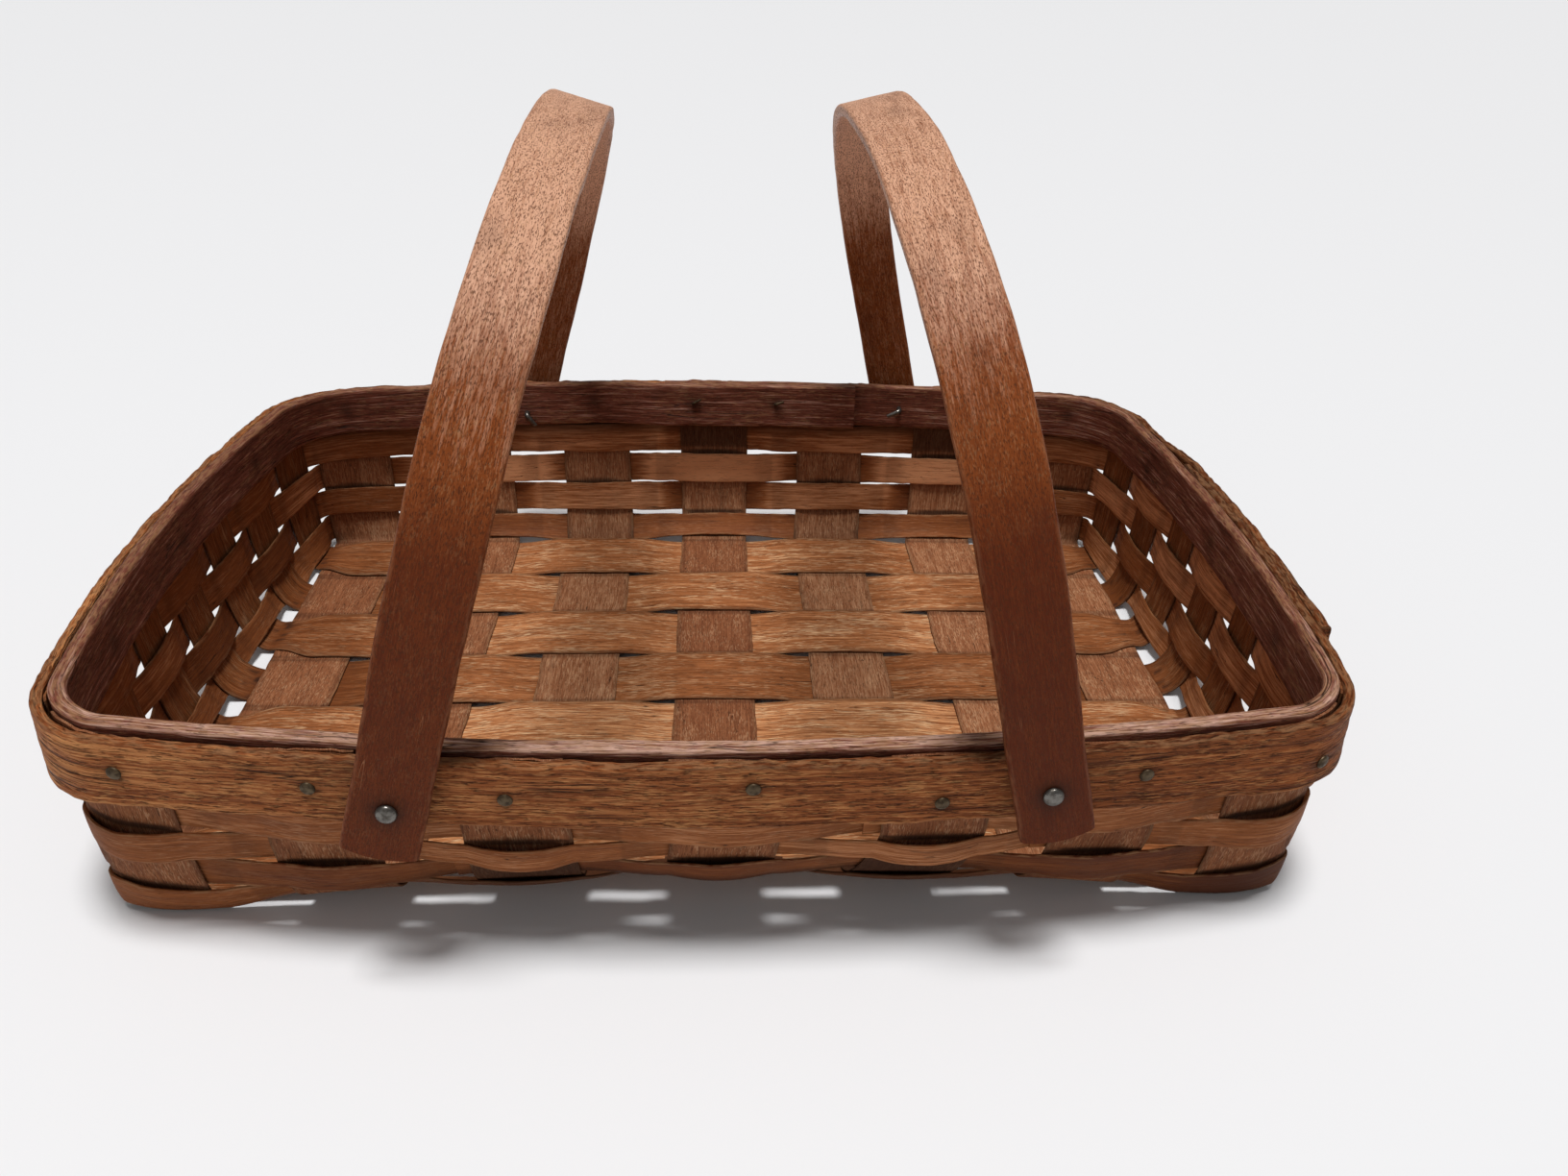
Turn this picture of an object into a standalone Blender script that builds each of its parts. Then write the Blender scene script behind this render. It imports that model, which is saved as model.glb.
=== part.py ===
# Gathering basket: wide splints woven into a low rectangular basket with round corners,
# two bent rim bands nailed round the top, and two bentwood handles that swing on nails.
# Metres. +X runs along the basket, +Y to its back, +Z up, and it stands on z = 0.
import math

import bmesh
import bpy
import numpy as np
from mathutils import Matrix, Vector

# Splints: the cross ones run front to back, the long ones from end to end, with room between neighbours
splintWidth = 0.038
splintThickness = 0.0012
splintGap = 0.0004
crossCount = 7
crossSplintRoom = 0.0279
longCount = 7
longSplintRoom = 0.0025
endUprightWidth = 0.026
baseEdgeRoom = 0.0016

# Walls: the base's edge, how far the rim stands out past it, and how the wall curves between them
baseCornerRadius = 0.004
backEdgeLift = 0.002
frontEdgeLift = 0.0168
endFlare = 0.0132
sideFlare = 0.0124
rimHeight = 0.0915
rimCornerFront = 0.028
rimCornerBack = 0.034
longSideBow = 0.0220
leftEndBow = 0.0155
rightEndBow = 0.0110
wallBulgeLow = 0.70
wallBulgeHigh = 0.84
wallBulgeHeight = 0.48

# The front's uprights lean to the right of their columns, up to this much, between these two heights
frontUprightShifts = (0.0, 0.0, 0.0, 0.0038, 0.0085, 0.0039, 0.0)
shiftStart = 0.006
shiftEnd = 0.042

# Ring weavers between the base and the rim. On the front the rows' limits lie lower by frontRowDrops
weaverCount = 4
weaverStart = 0.0022
weaverGap = 0.0009
weaverLapMargin = 0.006
weaverLapColumns = (0, -1, 2, 1)
frontRowDrops = (0.0, 0.0, 0.0011, 0.0042, 0.0)

# Rim bands
innerBandThickness = 0.0058
innerBandHeight = 0.0240
outerBandThickness = 0.0040
outerBandHeight = 0.0270
outerBandDrop = 0.0018
outerBandFlare = 0.0018
bandGap = 0.0005
uprightTopDrop = 0.0030
innerLapEndX = 0.078
innerLapLength = 0.105
outerLapEndY = -0.089
outerLapLength = 0.150
bandLapRamp = 0.030
bandEdgeRound = 0.0012

# Nails round the rim. A dome's shoulder and an upset end's taper are shares of its radius and height
domeShoulder = 0.65
domeShoulderHeight = 0.76
endTaper = 0.6
nailHeadRadius = 0.0026
nailHeadHeight = 0.0010
nailShankRadius = 0.0010
nailDrop = 0.0140
nailEndRadius = 0.0017
nailEndLength = 0.0008
nailSides = 7
holeRoom = 0.0003

# Hand-driven nails: how far each stands to the right of its column's middle, and above the usual line
frontNailShifts = (0.007, 0.004, 0.0, 0.012, 0.0075, 0.010, 0.009)
frontNailLifts = (-0.0005, -0.0005, -0.002, 0.003, -0.006, 0.0, -0.0045)
backNailShifts = (0.0, 0.005, 0.0, -0.0115, -0.032, 0.004, 0.0)
backNailLift = 0.0035

# Handles. Each rises from the middle of its pivot axis and leans inward, and the right one's axis is
# turned a little about the upright, so that its back foot stands nearer the basket's middle
handleRoom = 0.0038
handleSpanPower = 2.06
handleRisePower = 3.67
handleWidth = 0.0256
handleThickness = 0.0050
handleFoot = 0.0205
handleFootArc = 0.0025
handleEdgeRound = 0.0012
leftPivotX = -0.1050
leftPivotDrop = 0.0160
leftRise = 0.1938
leftLean = math.radians(15.7)
leftSkew = 0.0
rightPivotX = 0.1080
rightPivotDrop = 0.0120
rightRise = 0.1904
rightLean = math.radians(-13.4)
rightSkew = math.radians(0.92)
pivotHeadRadius = 0.0035
pivotHeadHeight = 0.0019
pivotShankRadius = 0.0017
pivotEndRadius = 0.0030
pivotEndLength = 0.0012
pivotSides = 10

# Worked out from the sizes above
weaveOffset = splintThickness + splintGap
crossSpacing = splintWidth + crossSplintRoom
longSpacing = splintWidth + longSplintRoom
crossReach = (crossCount - 1) / 2
longReach = (longCount - 1) / 2
baseHalfLength = crossReach * crossSpacing + splintWidth / 2 + baseEdgeRoom
baseHalfWidth = longReach * longSpacing + splintWidth / 2 + baseEdgeRoom
baseLevel = weaveOffset + splintThickness / 2
rimHalfLength = baseHalfLength + endFlare
rimHalfWidth = baseHalfWidth + sideFlare
leftPivotZ = rimHeight - leftPivotDrop
rightPivotZ = rimHeight - rightPivotDrop
bandSeat = splintThickness / 2 + splintGap
wallInset = outerBandThickness + bandSeat
cornerUprightFractions = (-1.0, -0.5, 0.0, 0.5, 1.0)
nextUprightFractions = (-1.0, 0.0, 1.0)
plainUprightFractions = (-1.0, 1.0)
firstWeaverShares = (0.0, 0.1, 0.25, 0.55, 1.0)
otherWeaverShares = (0.0, 0.5, 1.0)

# How finely the shapes are worked out
outlineSteps = 150
wallSteps = 40
handleFineSteps = 400
handleSections = 38
bevelAngle = math.radians(50)
cutMargin = 0.001


def clearScene():
    for thing in list(bpy.data.objects):
        bpy.data.objects.remove(thing, do_unlink=True)


def makeCollection(name):
    made = bpy.data.collections.new(name)
    bpy.context.scene.collection.children.link(made)
    return made


def makeMaterial(name, colour, roughness, metallic=0.0):
    made = bpy.data.materials.new(name)
    made.use_nodes = True
    shader = made.node_tree.nodes["Principled BSDF"]
    shader.inputs["Base Color"].default_value = (*colour, 1.0)
    shader.inputs["Roughness"].default_value = roughness
    shader.inputs["Metallic"].default_value = metallic
    return made


# One quarter of an outline, from the middle of a long side round the corner to the middle of an end,
# as points evenly spread along it, and its length
def quarterOutline(halfLength, halfWidth, corner, sideBow, bowAtEnd):
    along = np.linspace(0.0, halfLength - corner, outlineSteps)
    side = np.column_stack([along, np.full(outlineSteps, halfWidth)])
    turn = np.linspace(0.0, math.pi / 2, outlineSteps)
    arcX = halfLength - corner + corner * np.sin(turn)
    arcY = halfWidth - corner + corner * np.cos(turn)
    down = np.linspace(halfWidth - corner, 0.0, outlineSteps)
    end = np.column_stack([np.full(outlineSteps, halfLength), down])
    points = np.vstack([side, np.column_stack([arcX, arcY])[1:], end[1:]])
    x = points[:, 0].copy()
    y = points[:, 1].copy()
    points[:, 0] = x * (1 + bowAtEnd / halfLength * (1 - (y / halfWidth) ** 2))
    points[:, 1] = y * (1 + sideBow / halfWidth * (1 - (x / halfLength) ** 2))
    steps = np.linalg.norm(np.diff(points, axis=0), axis=1)
    lengths = np.concatenate([[0.0], np.cumsum(steps)])
    even = np.linspace(0.0, lengths[-1], outlineSteps + 1)
    spread = [np.interp(even, lengths, points[:, axis]) for axis in (0, 1)]
    return np.column_stack(spread), lengths[-1]


# A whole outline. Station 0 is the middle of the front, 1 of the right end, 2 of the back, 3 of the left
def wholeOutline(halfLength, halfWidth, corners, sideBow, endBows):
    quarters = []
    for end, mirrorX in zip(endBows, (1, -1)):
        for corner, mirrorY in zip(corners, (-1, 1)):
            points, _ = quarterOutline(halfLength, halfWidth, corner, sideBow, end)
            quarters.append(points * (mirrorX, mirrorY))
    rightFront, rightBack, leftFront, leftBack = quarters
    inOrder = (rightFront, rightBack[::-1], leftBack, leftFront[::-1])
    return np.vstack([quarter[:-1] for quarter in inOrder])


# How far the warped base is lifted at a point: its outer columns lie flat, its front edge rises most
def baseLift(x, y):
    flatFrom = crossReach * crossSpacing - splintWidth / 2
    across = np.maximum(0.0, 1 - (np.asarray(x) / flatFrom) ** 2)
    toFront = np.maximum(0.0, -np.asarray(y) / baseHalfWidth) ** 2
    return across * (backEdgeLift + (frontEdgeLift - backEdgeLift) * toFront)


# The middle surface of the walls, as a grid of points by station and height, and each station's length
def makeWall():
    baseCorners = (baseCornerRadius, baseCornerRadius)
    base = wholeOutline(baseHalfLength, baseHalfWidth, baseCorners, 0.0, (0.0, 0.0))
    rim = wholeOutline(
        rimHalfLength - wallInset,
        rimHalfWidth - wallInset,
        (rimCornerFront - wallInset, rimCornerBack - wallInset),
        longSideBow,
        (rightEndBow, leftEndBow),
    )
    low = baseLevel + baseLift(base[:, 0], base[:, 1])
    t = np.linspace(0.0, 1.0, wallSteps + 1)
    outward = 3 * t * (1 - t) ** 2 * wallBulgeLow + 3 * t**2 * (1 - t) * wallBulgeHigh + t**3
    upward = 3 * t**2 * (1 - t) * wallBulgeHeight + t**3
    points = np.zeros((len(base), len(t), 3))
    points[:, :, :2] = base[:, None, :] + (rim - base)[:, None, :] * outward[None, :, None]
    points[:, :, 2] = low[:, None] + (rimHeight - low)[:, None] * upward[None, :]
    steps = np.linalg.norm(np.diff(points, axis=1), axis=2)
    lengths = np.concatenate([np.zeros((len(base), 1)), np.cumsum(steps, axis=1)], axis=1)
    return points, lengths


wallPoints, wallLengths = makeWall()
baseQuarter = quarterOutline(baseHalfLength, baseHalfWidth, baseCornerRadius, 0.0, 0.0)[1]
innerShowingEnd = 2 - innerLapEndX / baseQuarter
outerShowingEnd = 1 + outerLapEndY / baseQuarter


def wallColumn(station):
    place = (station % 4) * outlineSteps
    first = int(place) % len(wallPoints)
    second = (first + 1) % len(wallPoints)
    share = place - int(place)
    column = wallPoints[first] * (1 - share) + wallPoints[second] * share
    lengths = wallLengths[first] * (1 - share) + wallLengths[second] * share
    return column, lengths


def wallPoint(station, height):
    column, lengths = wallColumn(station)
    return np.array([np.interp(height, lengths, column[:, axis]) for axis in range(3)])


def wallLength(station):
    return wallColumn(station)[1][-1]


# Unit vector out of the basket at a place on the wall, square to its surface
def wallNormal(station, height):
    stationStep = 0.004
    heightStep = 0.001
    low = max(height - heightStep, 0.0)
    high = min(low + 2 * heightStep, wallLength(station))
    low = high - 2 * heightStep
    along = wallPoint(station + stationStep, height) - wallPoint(station - stationStep, height)
    upward = wallPoint(station, high) - wallPoint(station, low)
    normal = np.cross(along, upward)
    return normal / np.linalg.norm(normal)


def offWall(station, height, offset):
    return wallPoint(station, height) + offset * wallNormal(station, height)


# Change of station over half the width of an upright at this height
def halfStation(station, height, width):
    step = 0.01
    span = wallPoint(station + step, height) - wallPoint(station - step, height)
    return width / 2 * 2 * step / np.linalg.norm(span)


# 1 along the front, fading to 0 round its corners
def frontShare(station):
    away = abs((station + 2) % 4 - 2)
    return min(1.0, max(0.0, 1.6 - 2 * away))


# Where each weaver starts and ends on its way up the wall at a station
def weaverSpan(number, station):
    room = wallLength(station) - innerBandHeight - bandGap - weaverStart
    pitch = room / weaverCount
    drops = [drop * frontShare(station) for drop in frontRowDrops]
    start = weaverStart + number * pitch
    return start - drops[number], start + pitch - weaverGap - drops[(number + 1) % len(drops)]


# Heights at which every upright has a section. The weavers have theirs at the same heights
def uprightHeights(station):
    heights = [0.0, weaverStart]
    firstStart, firstEnd = weaverSpan(0, station)
    heights += [firstStart + share * (firstEnd - firstStart) for share in firstWeaverShares[1:]]
    for number in range(1, weaverCount):
        start, end = weaverSpan(number, station)
        heights += [(start + end) / 2, end]
    heights.append(wallLength(station) - uprightTopDrop)
    return heights


def numbersOf(count):
    reach = (count - 1) // 2
    return range(-reach, count - reach)


def crossStation(number, side):
    along = number * crossSpacing / baseQuarter
    return along if side == "front" else 2 - along


def longStation(number, side):
    along = number * longSpacing / baseQuarter
    return 1 + along if side == "right" else 3 - along


# Sections across a splint: more of them where it stands at a corner
def fractionsOf(number, count):
    fromCorner = (count - 1) // 2 - abs(number)
    if fromCorner == 0:
        return cornerUprightFractions
    return nextUprightFractions if fromCorner == 1 else plainUprightFractions


# How far a cross splint's upright stands beside its column, as a change of station
def uprightShift(number, side):
    shift = frontUprightShifts[(number + int(crossReach)) % len(frontUprightShifts)]
    return shift / baseQuarter if side == "front" else 0.0


# The share of that shift which an upright has reached at a height up the wall
def shiftShare(height):
    return min(1.0, max(0.0, (height - shiftStart) / (shiftEnd - shiftStart)))


# Every upright: its station, width, section fractions, whether weaver 0 passes inside it, and its shift
def allUprights():
    found = []
    for number in numbersOf(crossCount):
        fractions = fractionsOf(number, crossCount)
        for side in ("front", "back"):
            place = (crossStation(number, side) % 4, splintWidth, fractions, number % 2 == 0)
            found.append((*place, uprightShift(number, side)))
    for number in numbersOf(longCount):
        fractions = fractionsOf(number, longCount)
        for side in ("right", "left"):
            place = (longStation(number, side) % 4, endUprightWidth, fractions, number % 2 == 1)
            found.append((*place, 0.0))
    return sorted(found)


uprights = allUprights()


# A band of sections laid on a grid, thickened evenly about its middle surface
def makeRibbon(name, sections, thickness, material, collection):
    sections = np.asarray(sections)
    count, across = sections.shape[:2]
    mesh = bpy.data.meshes.new(name)
    shape = bmesh.new()
    bmesh.ops.create_grid(shape, x_segments=across - 1, y_segments=count - 1, size=1.0)
    ordered = sorted(shape.verts, key=lambda vertex: (round(vertex.co.y, 5), round(vertex.co.x, 5)))
    for vertex, place in zip(ordered, sections.reshape(-1, 3)):
        vertex.co = place
    shape.to_mesh(mesh)
    shape.free()
    mesh.materials.append(material)
    made = bpy.data.objects.new(name, mesh)
    collection.objects.link(made)
    solid = made.modifiers.new("thickness", "SOLIDIFY")
    solid.thickness = thickness
    solid.offset = 0.0
    solid.use_even_offset = True
    return made


def addBevel(target, width, segments):
    bevel = target.modifiers.new("rounding", "BEVEL")
    bevel.width = width
    bevel.segments = segments
    bevel.limit_method = "ANGLE"
    bevel.angle_limit = bevelAngle


def addHoles(target, cutter):
    cut = target.modifiers.new("nail holes", "BOOLEAN")
    cut.operation = "DIFFERENCE"
    cut.solver = "EXACT"
    cut.object = cutter


# The part of a splint that stands up a wall, from the base edge to its top
def uprightSections(station, width, fractions, shift):
    sections = []
    for height in uprightHeights(station):
        half = halfStation(station, height, width)
        middle = station + shift * shiftShare(height)
        sections.append([offWall(middle + share * half, height, 0.0) for share in fractions])
    return sections


def makeCrossSplint(number, material, collection):
    x = number * crossSpacing
    fractions = fractionsOf(number, crossCount)
    shift = uprightShift(number, "front")
    front = uprightSections(crossStation(number, "front"), splintWidth, fractions, shift)
    back = uprightSections(crossStation(number, "back"), splintWidth, fractions, 0.0)
    base = []
    for row in numbersOf(longCount):
        for y in (row * longSpacing - splintWidth / 2, row * longSpacing + splintWidth / 2):
            places = [x + share * splintWidth / 2 for share in fractions]
            base.append([(place, y, baseLevel + baseLift(place, y)) for place in places])
    # Stations run leftward along the back, so its sections are turned round to match the front's
    back = [section[::-1] for section in back]
    sections = front[::-1] + base + back
    label = number - numbersOf(crossCount)[0] + 1
    return makeRibbon(f"cross_splint_{label}", sections, splintThickness, material, collection)


# A long splint's sections over one half of the base, outward from the middle column on the given side
def longBaseHalf(number, side, fractions):
    sign = 1 if side == "right" else -1
    y = number * longSpacing
    sections = []
    for column in range(0, int(crossReach) + 1):
        above = weaveOffset if (number + column) % 2 == 0 else -weaveOffset
        centre = column * crossSpacing
        if column == int(crossReach):
            places = [(-1.0, 0.0), (0.0, 0.0), (0.5, 0.5), (1.0, 1.0)]
        else:
            places = [(-1.0, 0.0), (1.0, 0.0)]
        for share, narrowing in places:
            x = sign * (centre + share * splintWidth / 2)
            narrowed = splintWidth + (endUprightWidth - splintWidth) * narrowing
            if column == 0 and share < 0:
                continue
            level = baseLevel + above
            low, high = [level + float(baseLift(x, y + edge * narrowed / 2)) for edge in (-1, 1)]
            # Straight across its width, like the cross splints that it lies on
            middle = (low + high) / 2
            rise = (high - low) / 2
            across = [(x, y + part * narrowed / 2, middle + part * rise) for part in fractions]
            sections.append(across)
    return sections


def makeLongSplint(number, material, collection):
    fractions = fractionsOf(number, longCount)
    offsetAtEdge = weaveOffset if (number + int(crossReach)) % 2 == 0 else -weaveOffset
    halves = {}
    for side in ("right", "left"):
        station = longStation(number, side)
        wall = []
        for index, height in enumerate(uprightHeights(station)):
            half = halfStation(station, height, endUprightWidth)
            offset = -offsetAtEdge / 2 if index == 0 else 0.0
            wall.append([offWall(station + share * half, height, offset) for share in fractions])
        if side == "left":
            wall = [section[::-1] for section in wall]
        halves[side] = longBaseHalf(number, side, fractions) + wall
    sections = halves["left"][::-1] + halves["right"]
    label = number - numbersOf(longCount)[0] + 1
    return makeRibbon(f"long_splint_{label}", sections, splintThickness, material, collection)


# A ring weaver's sections: a full turn that starts and ends inside one upright, where its ends lap
def makeWeaver(number, lapColumn, material, collection):
    shares = firstWeaverShares if number == 0 else otherWeaverShares
    lapStation = crossStation(lapColumn, "front") % 4
    first = min(range(len(uprights)), key=lambda index: abs(uprights[index][0] - lapStation))
    places = []
    for turn in range(len(uprights) + 1):
        index = (first + turn) % len(uprights)
        station, width, fractions, insideFirst, shift = uprights[index]
        station += 4 * ((first + turn) // len(uprights))
        inside = insideFirst == (number % 2 == 0)
        offset = -weaveOffset if inside else weaveOffset
        if turn == len(uprights):
            offset -= weaveOffset
        middle = sum(weaverSpan(number, station)) / 2
        station += shift * shiftShare(middle)
        half = halfStation(station, middle, width)
        extra = weaverLapMargin / splintWidth * 2
        reach = [share * half for share in fractions]
        if turn == 0:
            reach = [-(1 + extra) * half] + reach
        if turn == len(uprights):
            reach = reach + [(1 + extra) * half]
        places += [(station + step, offset) for step in reach]
    sections = []
    for station, offset in addCornerPlaces(places):
        start, end = weaverSpan(number, station)
        heights = [start + share * (end - start) for share in shares]
        sections.append([offWall(station, height, offset) for height in heights])
    return makeRibbon(f"weaver_{number + 1}", sections, splintThickness, material, collection)


# The base's sharp corners need sections of their own, so that a weaver doesn't cut across them
def addCornerPlaces(places):
    straight = baseHalfLength - baseCornerRadius
    arc = baseCornerRadius * math.pi / 2
    added = []
    for quarter in range(12):
        for share in (0.25, 0.75):
            along = (straight + share * arc) / baseQuarter
            added.append(quarter + along if quarter % 2 == 0 else quarter + 1 - along)
    stations = [station for station, _ in places]
    offsets = [offset for _, offset in places]
    added = [station for station in added if stations[0] < station < stations[-1]]
    return sorted(places + [(station, np.interp(station, stations, offsets)) for station in added])


# How far round from a band's showing end its lap reaches, and how far the rise over it, as stations
def lapReach(lapLength):
    return lapLength / baseQuarter, (lapLength + bandLapRamp) / baseQuarter


# How far a band stands off at a place past its showing end, where it lies on top of its own other end
def lapLift(place, lapLength, thickness):
    lap, clear = lapReach(lapLength)
    return (thickness + splintGap) * min(1.0, max(0.0, (clear - place) / (clear - lap)))


def outerLapLift(station):
    return lapLift((station - outerShowingEnd) % 4, outerLapLength, outerBandThickness)


def innerLapLift(station):
    return lapLift((station - innerShowingEnd) % 4, innerLapLength, innerBandThickness)


# Places round a rim band, from its showing end, once round, and on under its own lap
def bandPlaces(start, lapLength):
    lap, clear = lapReach(lapLength)
    edges = []
    for station, width, fractions, _, shift in uprights:
        half = halfStation(station, wallLength(station) - innerBandHeight / 2, width)
        edges += [(station + shift + share * half - start) % 4 for share in fractions]
    room = 0.002
    fixed = [0.0, lap, clear, 4.0, 4.0 + lap]
    turned = [edge for edge in edges if abs(edge - lap) > room and abs(edge - clear) > room]
    turned = [edge for edge in turned if room < edge < 4 - room]
    lapped = [4 + edge for edge in edges if room < edge < lap - room]
    return sorted(fixed + turned + lapped)


def makeOuterBand(material, collection):
    sections = []
    for place in bandPlaces(outerShowingEnd, outerLapLength):
        station = outerShowingEnd + place
        middle = bandSeat + outerBandThickness / 2 + lapLift(place, outerLapLength, outerBandThickness)
        top = wallLength(station) - outerBandDrop
        ends = ((top - outerBandHeight, middle + outerBandFlare), (top, middle))
        sections.append([offWall(station, height, offset) for height, offset in ends])
    made = makeRibbon("outer_rim_band", sections, outerBandThickness, material, collection)
    addBevel(made, bandEdgeRound, 1)
    return made


def makeInnerBand(material, collection):
    sections = []
    for place in bandPlaces(innerShowingEnd, innerLapLength):
        station = innerShowingEnd + place
        offset = -bandSeat - innerBandThickness / 2 - lapLift(place, innerLapLength, innerBandThickness)
        top = wallLength(station)
        sections.append([offWall(station, height, offset) for height in (top - innerBandHeight, top)])
    made = makeRibbon("inner_rim_band", sections, innerBandThickness, material, collection)
    addBevel(made, bandEdgeRound, 1)
    return made


# A turned nail: its domed head sits on z = 0 and its shank runs down to an upset end
def makeNail(name, head, shankRadius, grip, upset, steps, material, collection):
    headRadius, headHeight = head
    endRadius, endLength = upset
    profile = [
        (0.0, headHeight),
        (headRadius * domeShoulder, headHeight * domeShoulderHeight),
        (headRadius, 0.0),
        (shankRadius, 0.0),
        (shankRadius, -grip),
        (endRadius, -grip),
        (endRadius * endTaper, -grip - endLength),
        (0.0, -grip - endLength),
    ]
    mesh = bpy.data.meshes.new(name)
    shape = bmesh.new()
    corners = [shape.verts.new((radius, 0.0, height)) for radius, height in profile]
    for first, second in zip(corners, corners[1:]):
        shape.edges.new((first, second))
    shape.to_mesh(mesh)
    shape.free()
    mesh.materials.append(material)
    made = bpy.data.objects.new(name, mesh)
    collection.objects.link(made)
    turn = made.modifiers.new("turn", "SCREW")
    turn.steps = steps
    turn.render_steps = steps
    turn.use_merge_vertices = True
    turn.merge_threshold = 0.00001
    turn.use_normal_calculate = True
    turn.use_normal_flip = True
    return made


def aim(target, place, direction):
    turn = Vector(direction).to_track_quat("Z", "Y").to_matrix().to_4x4()
    target.matrix_world = Matrix.Translation(Vector(place)) @ turn


# One mesh of short rods, one for each nail's hole
def makeHoleCutter(name, rods, collection):
    mesh = bpy.data.meshes.new(name)
    shape = bmesh.new()
    for place, direction, radius, length, sides in rods:
        turn = Vector(direction).to_track_quat("Z", "Y").to_matrix().to_4x4()
        where = Matrix.Translation(Vector(place)) @ turn
        bmesh.ops.create_cone(
            shape,
            cap_ends=True,
            segments=sides,
            radius1=radius,
            radius2=radius,
            depth=length,
            matrix=where,
        )
    shape.to_mesh(mesh)
    shape.free()
    made = bpy.data.objects.new(name, mesh)
    made.hide_render = True
    made.display_type = "WIRE"
    collection.objects.link(made)
    return made


# Outer face of the outer band, as an offset from the wall's middle surface, at a height up the wall
def outerFaceOffset(station, height):
    top = wallLength(station) - outerBandDrop
    share = (top - height) / outerBandHeight
    return bandSeat + outerBandFlare * share + outerBandThickness + outerLapLift(station)


# Inner face of the inner band, as a distance inward from the wall's middle surface
def innerFaceDepth(station):
    return bandSeat + innerBandThickness + innerLapLift(station)


# Each rim nail: one at every upright of the long sides and at every second one of the ends
def rimNailPlaces():
    found = []
    for order, number in enumerate(numbersOf(crossCount)):
        shift = frontNailShifts[order % len(frontNailShifts)] / baseQuarter
        lift = frontNailLifts[order % len(frontNailLifts)]
        found.append((f"front_nail_{order + 1}", (crossStation(number, "front") + shift) % 4, lift))
        shift = backNailShifts[order % len(backNailShifts)] / baseQuarter
        found.append((f"back_nail_{order + 1}", (crossStation(number, "back") - shift) % 4, backNailLift))
    for order, number in enumerate(numbersOf(longCount)[1::2]):
        found.append((f"right_nail_{order + 1}", longStation(number, "right") % 4, 0.0))
        found.append((f"left_nail_{order + 1}", longStation(number, "left") % 4, 0.0))
    return found


# How far the outer band stands from the middle of the basket, at a place along the front and a height
def outerBandFace(x, z):
    reach = rimHalfLength / baseQuarter
    faces = []
    for station in np.linspace(-reach, reach, outlineSteps):
        column, lengths = wallColumn(station)
        height = np.interp(z, column[:, 2], lengths)
        faces.append(offWall(station, height, outerFaceOffset(station, height)))
    faces = np.array(faces)
    return -np.interp(x, faces[:, 0], faces[:, 1])


# How far along the basket a turned pivot axis stands from its middle, at the front or back of the rim
def pivotShift(outward, skew):
    return -outward * math.tan(skew) * rimHalfWidth


# Half the handles' outer span: both clear the outer band where they are pinned
def handleHalfSpan():
    faces = []
    for x, z, skew in ((leftPivotX, leftPivotZ, leftSkew), (rightPivotX, rightPivotZ, rightSkew)):
        faces += [outerBandFace(x + pivotShift(outward, skew), z) for outward in (-1, 1)]
    return max(faces) + handleRoom + handleThickness


# The middle path of a handle in its own frame, up one leg, over the top and down the other
def handlePath(outerRise):
    span = handleHalfSpan() - handleThickness / 2
    rise = outerRise - handleThickness / 2
    turn = np.linspace(0.0, math.pi / 2, handleFineSteps)
    y = span * np.cos(turn) ** (2 / handleSpanPower)
    z = rise * np.sin(turn) ** (2 / handleRisePower)
    half = np.column_stack([y, z])
    whole = np.vstack([half * (-1, 1), half[::-1][1:]])
    steps = np.linalg.norm(np.diff(whole, axis=0), axis=1)
    lengths = np.concatenate([[0.0], np.cumsum(steps)])
    even = np.linspace(0.0, lengths[-1], handleSections)
    return np.column_stack([np.interp(even, lengths, whole[:, axis]) for axis in (0, 1)])


def makeHandle(name, pivotX, pivotZ, rise, turns, cutter, material, collection):
    shares = (-1.0, -0.4, 0.4, 1.0)
    path = handlePath(rise)
    feet = []
    for y in (path[0][0], path[-1][0]):
        drops = [-handleFoot + handleFootArc * share**2 for share in shares]
        feet.append([(share * handleWidth / 2, y, drop) for share, drop in zip(shares, drops)])
    rows = [[(share * handleWidth / 2, y, z) for share in shares] for y, z in path]
    made = makeRibbon(name, [feet[0]] + rows + [feet[1]], handleThickness, material, collection)
    made.location = (pivotX, 0.0, pivotZ)
    made.rotation_euler = (0.0, *turns)
    addBevel(made, handleEdgeRound, 1)
    addHoles(made, cutter)
    return made


def makeRimNail(name, station, lift, material, collection):
    height = wallLength(station) - nailDrop + lift
    back = innerFaceDepth(station) + splintGap
    seat = outerFaceOffset(station, height) + splintGap
    grip = seat + back
    head = (nailHeadRadius, nailHeadHeight)
    upset = (nailEndRadius, nailEndLength)
    normal = wallNormal(station, height)
    nail = makeNail(name, head, nailShankRadius, grip, upset, nailSides, material, collection)
    aim(nail, offWall(station, height, seat), normal)
    middle = offWall(station, height, (seat - back) / 2)
    return middle, normal, nailShankRadius + holeRoom, grip + 2 * cutMargin, nailSides


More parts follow.
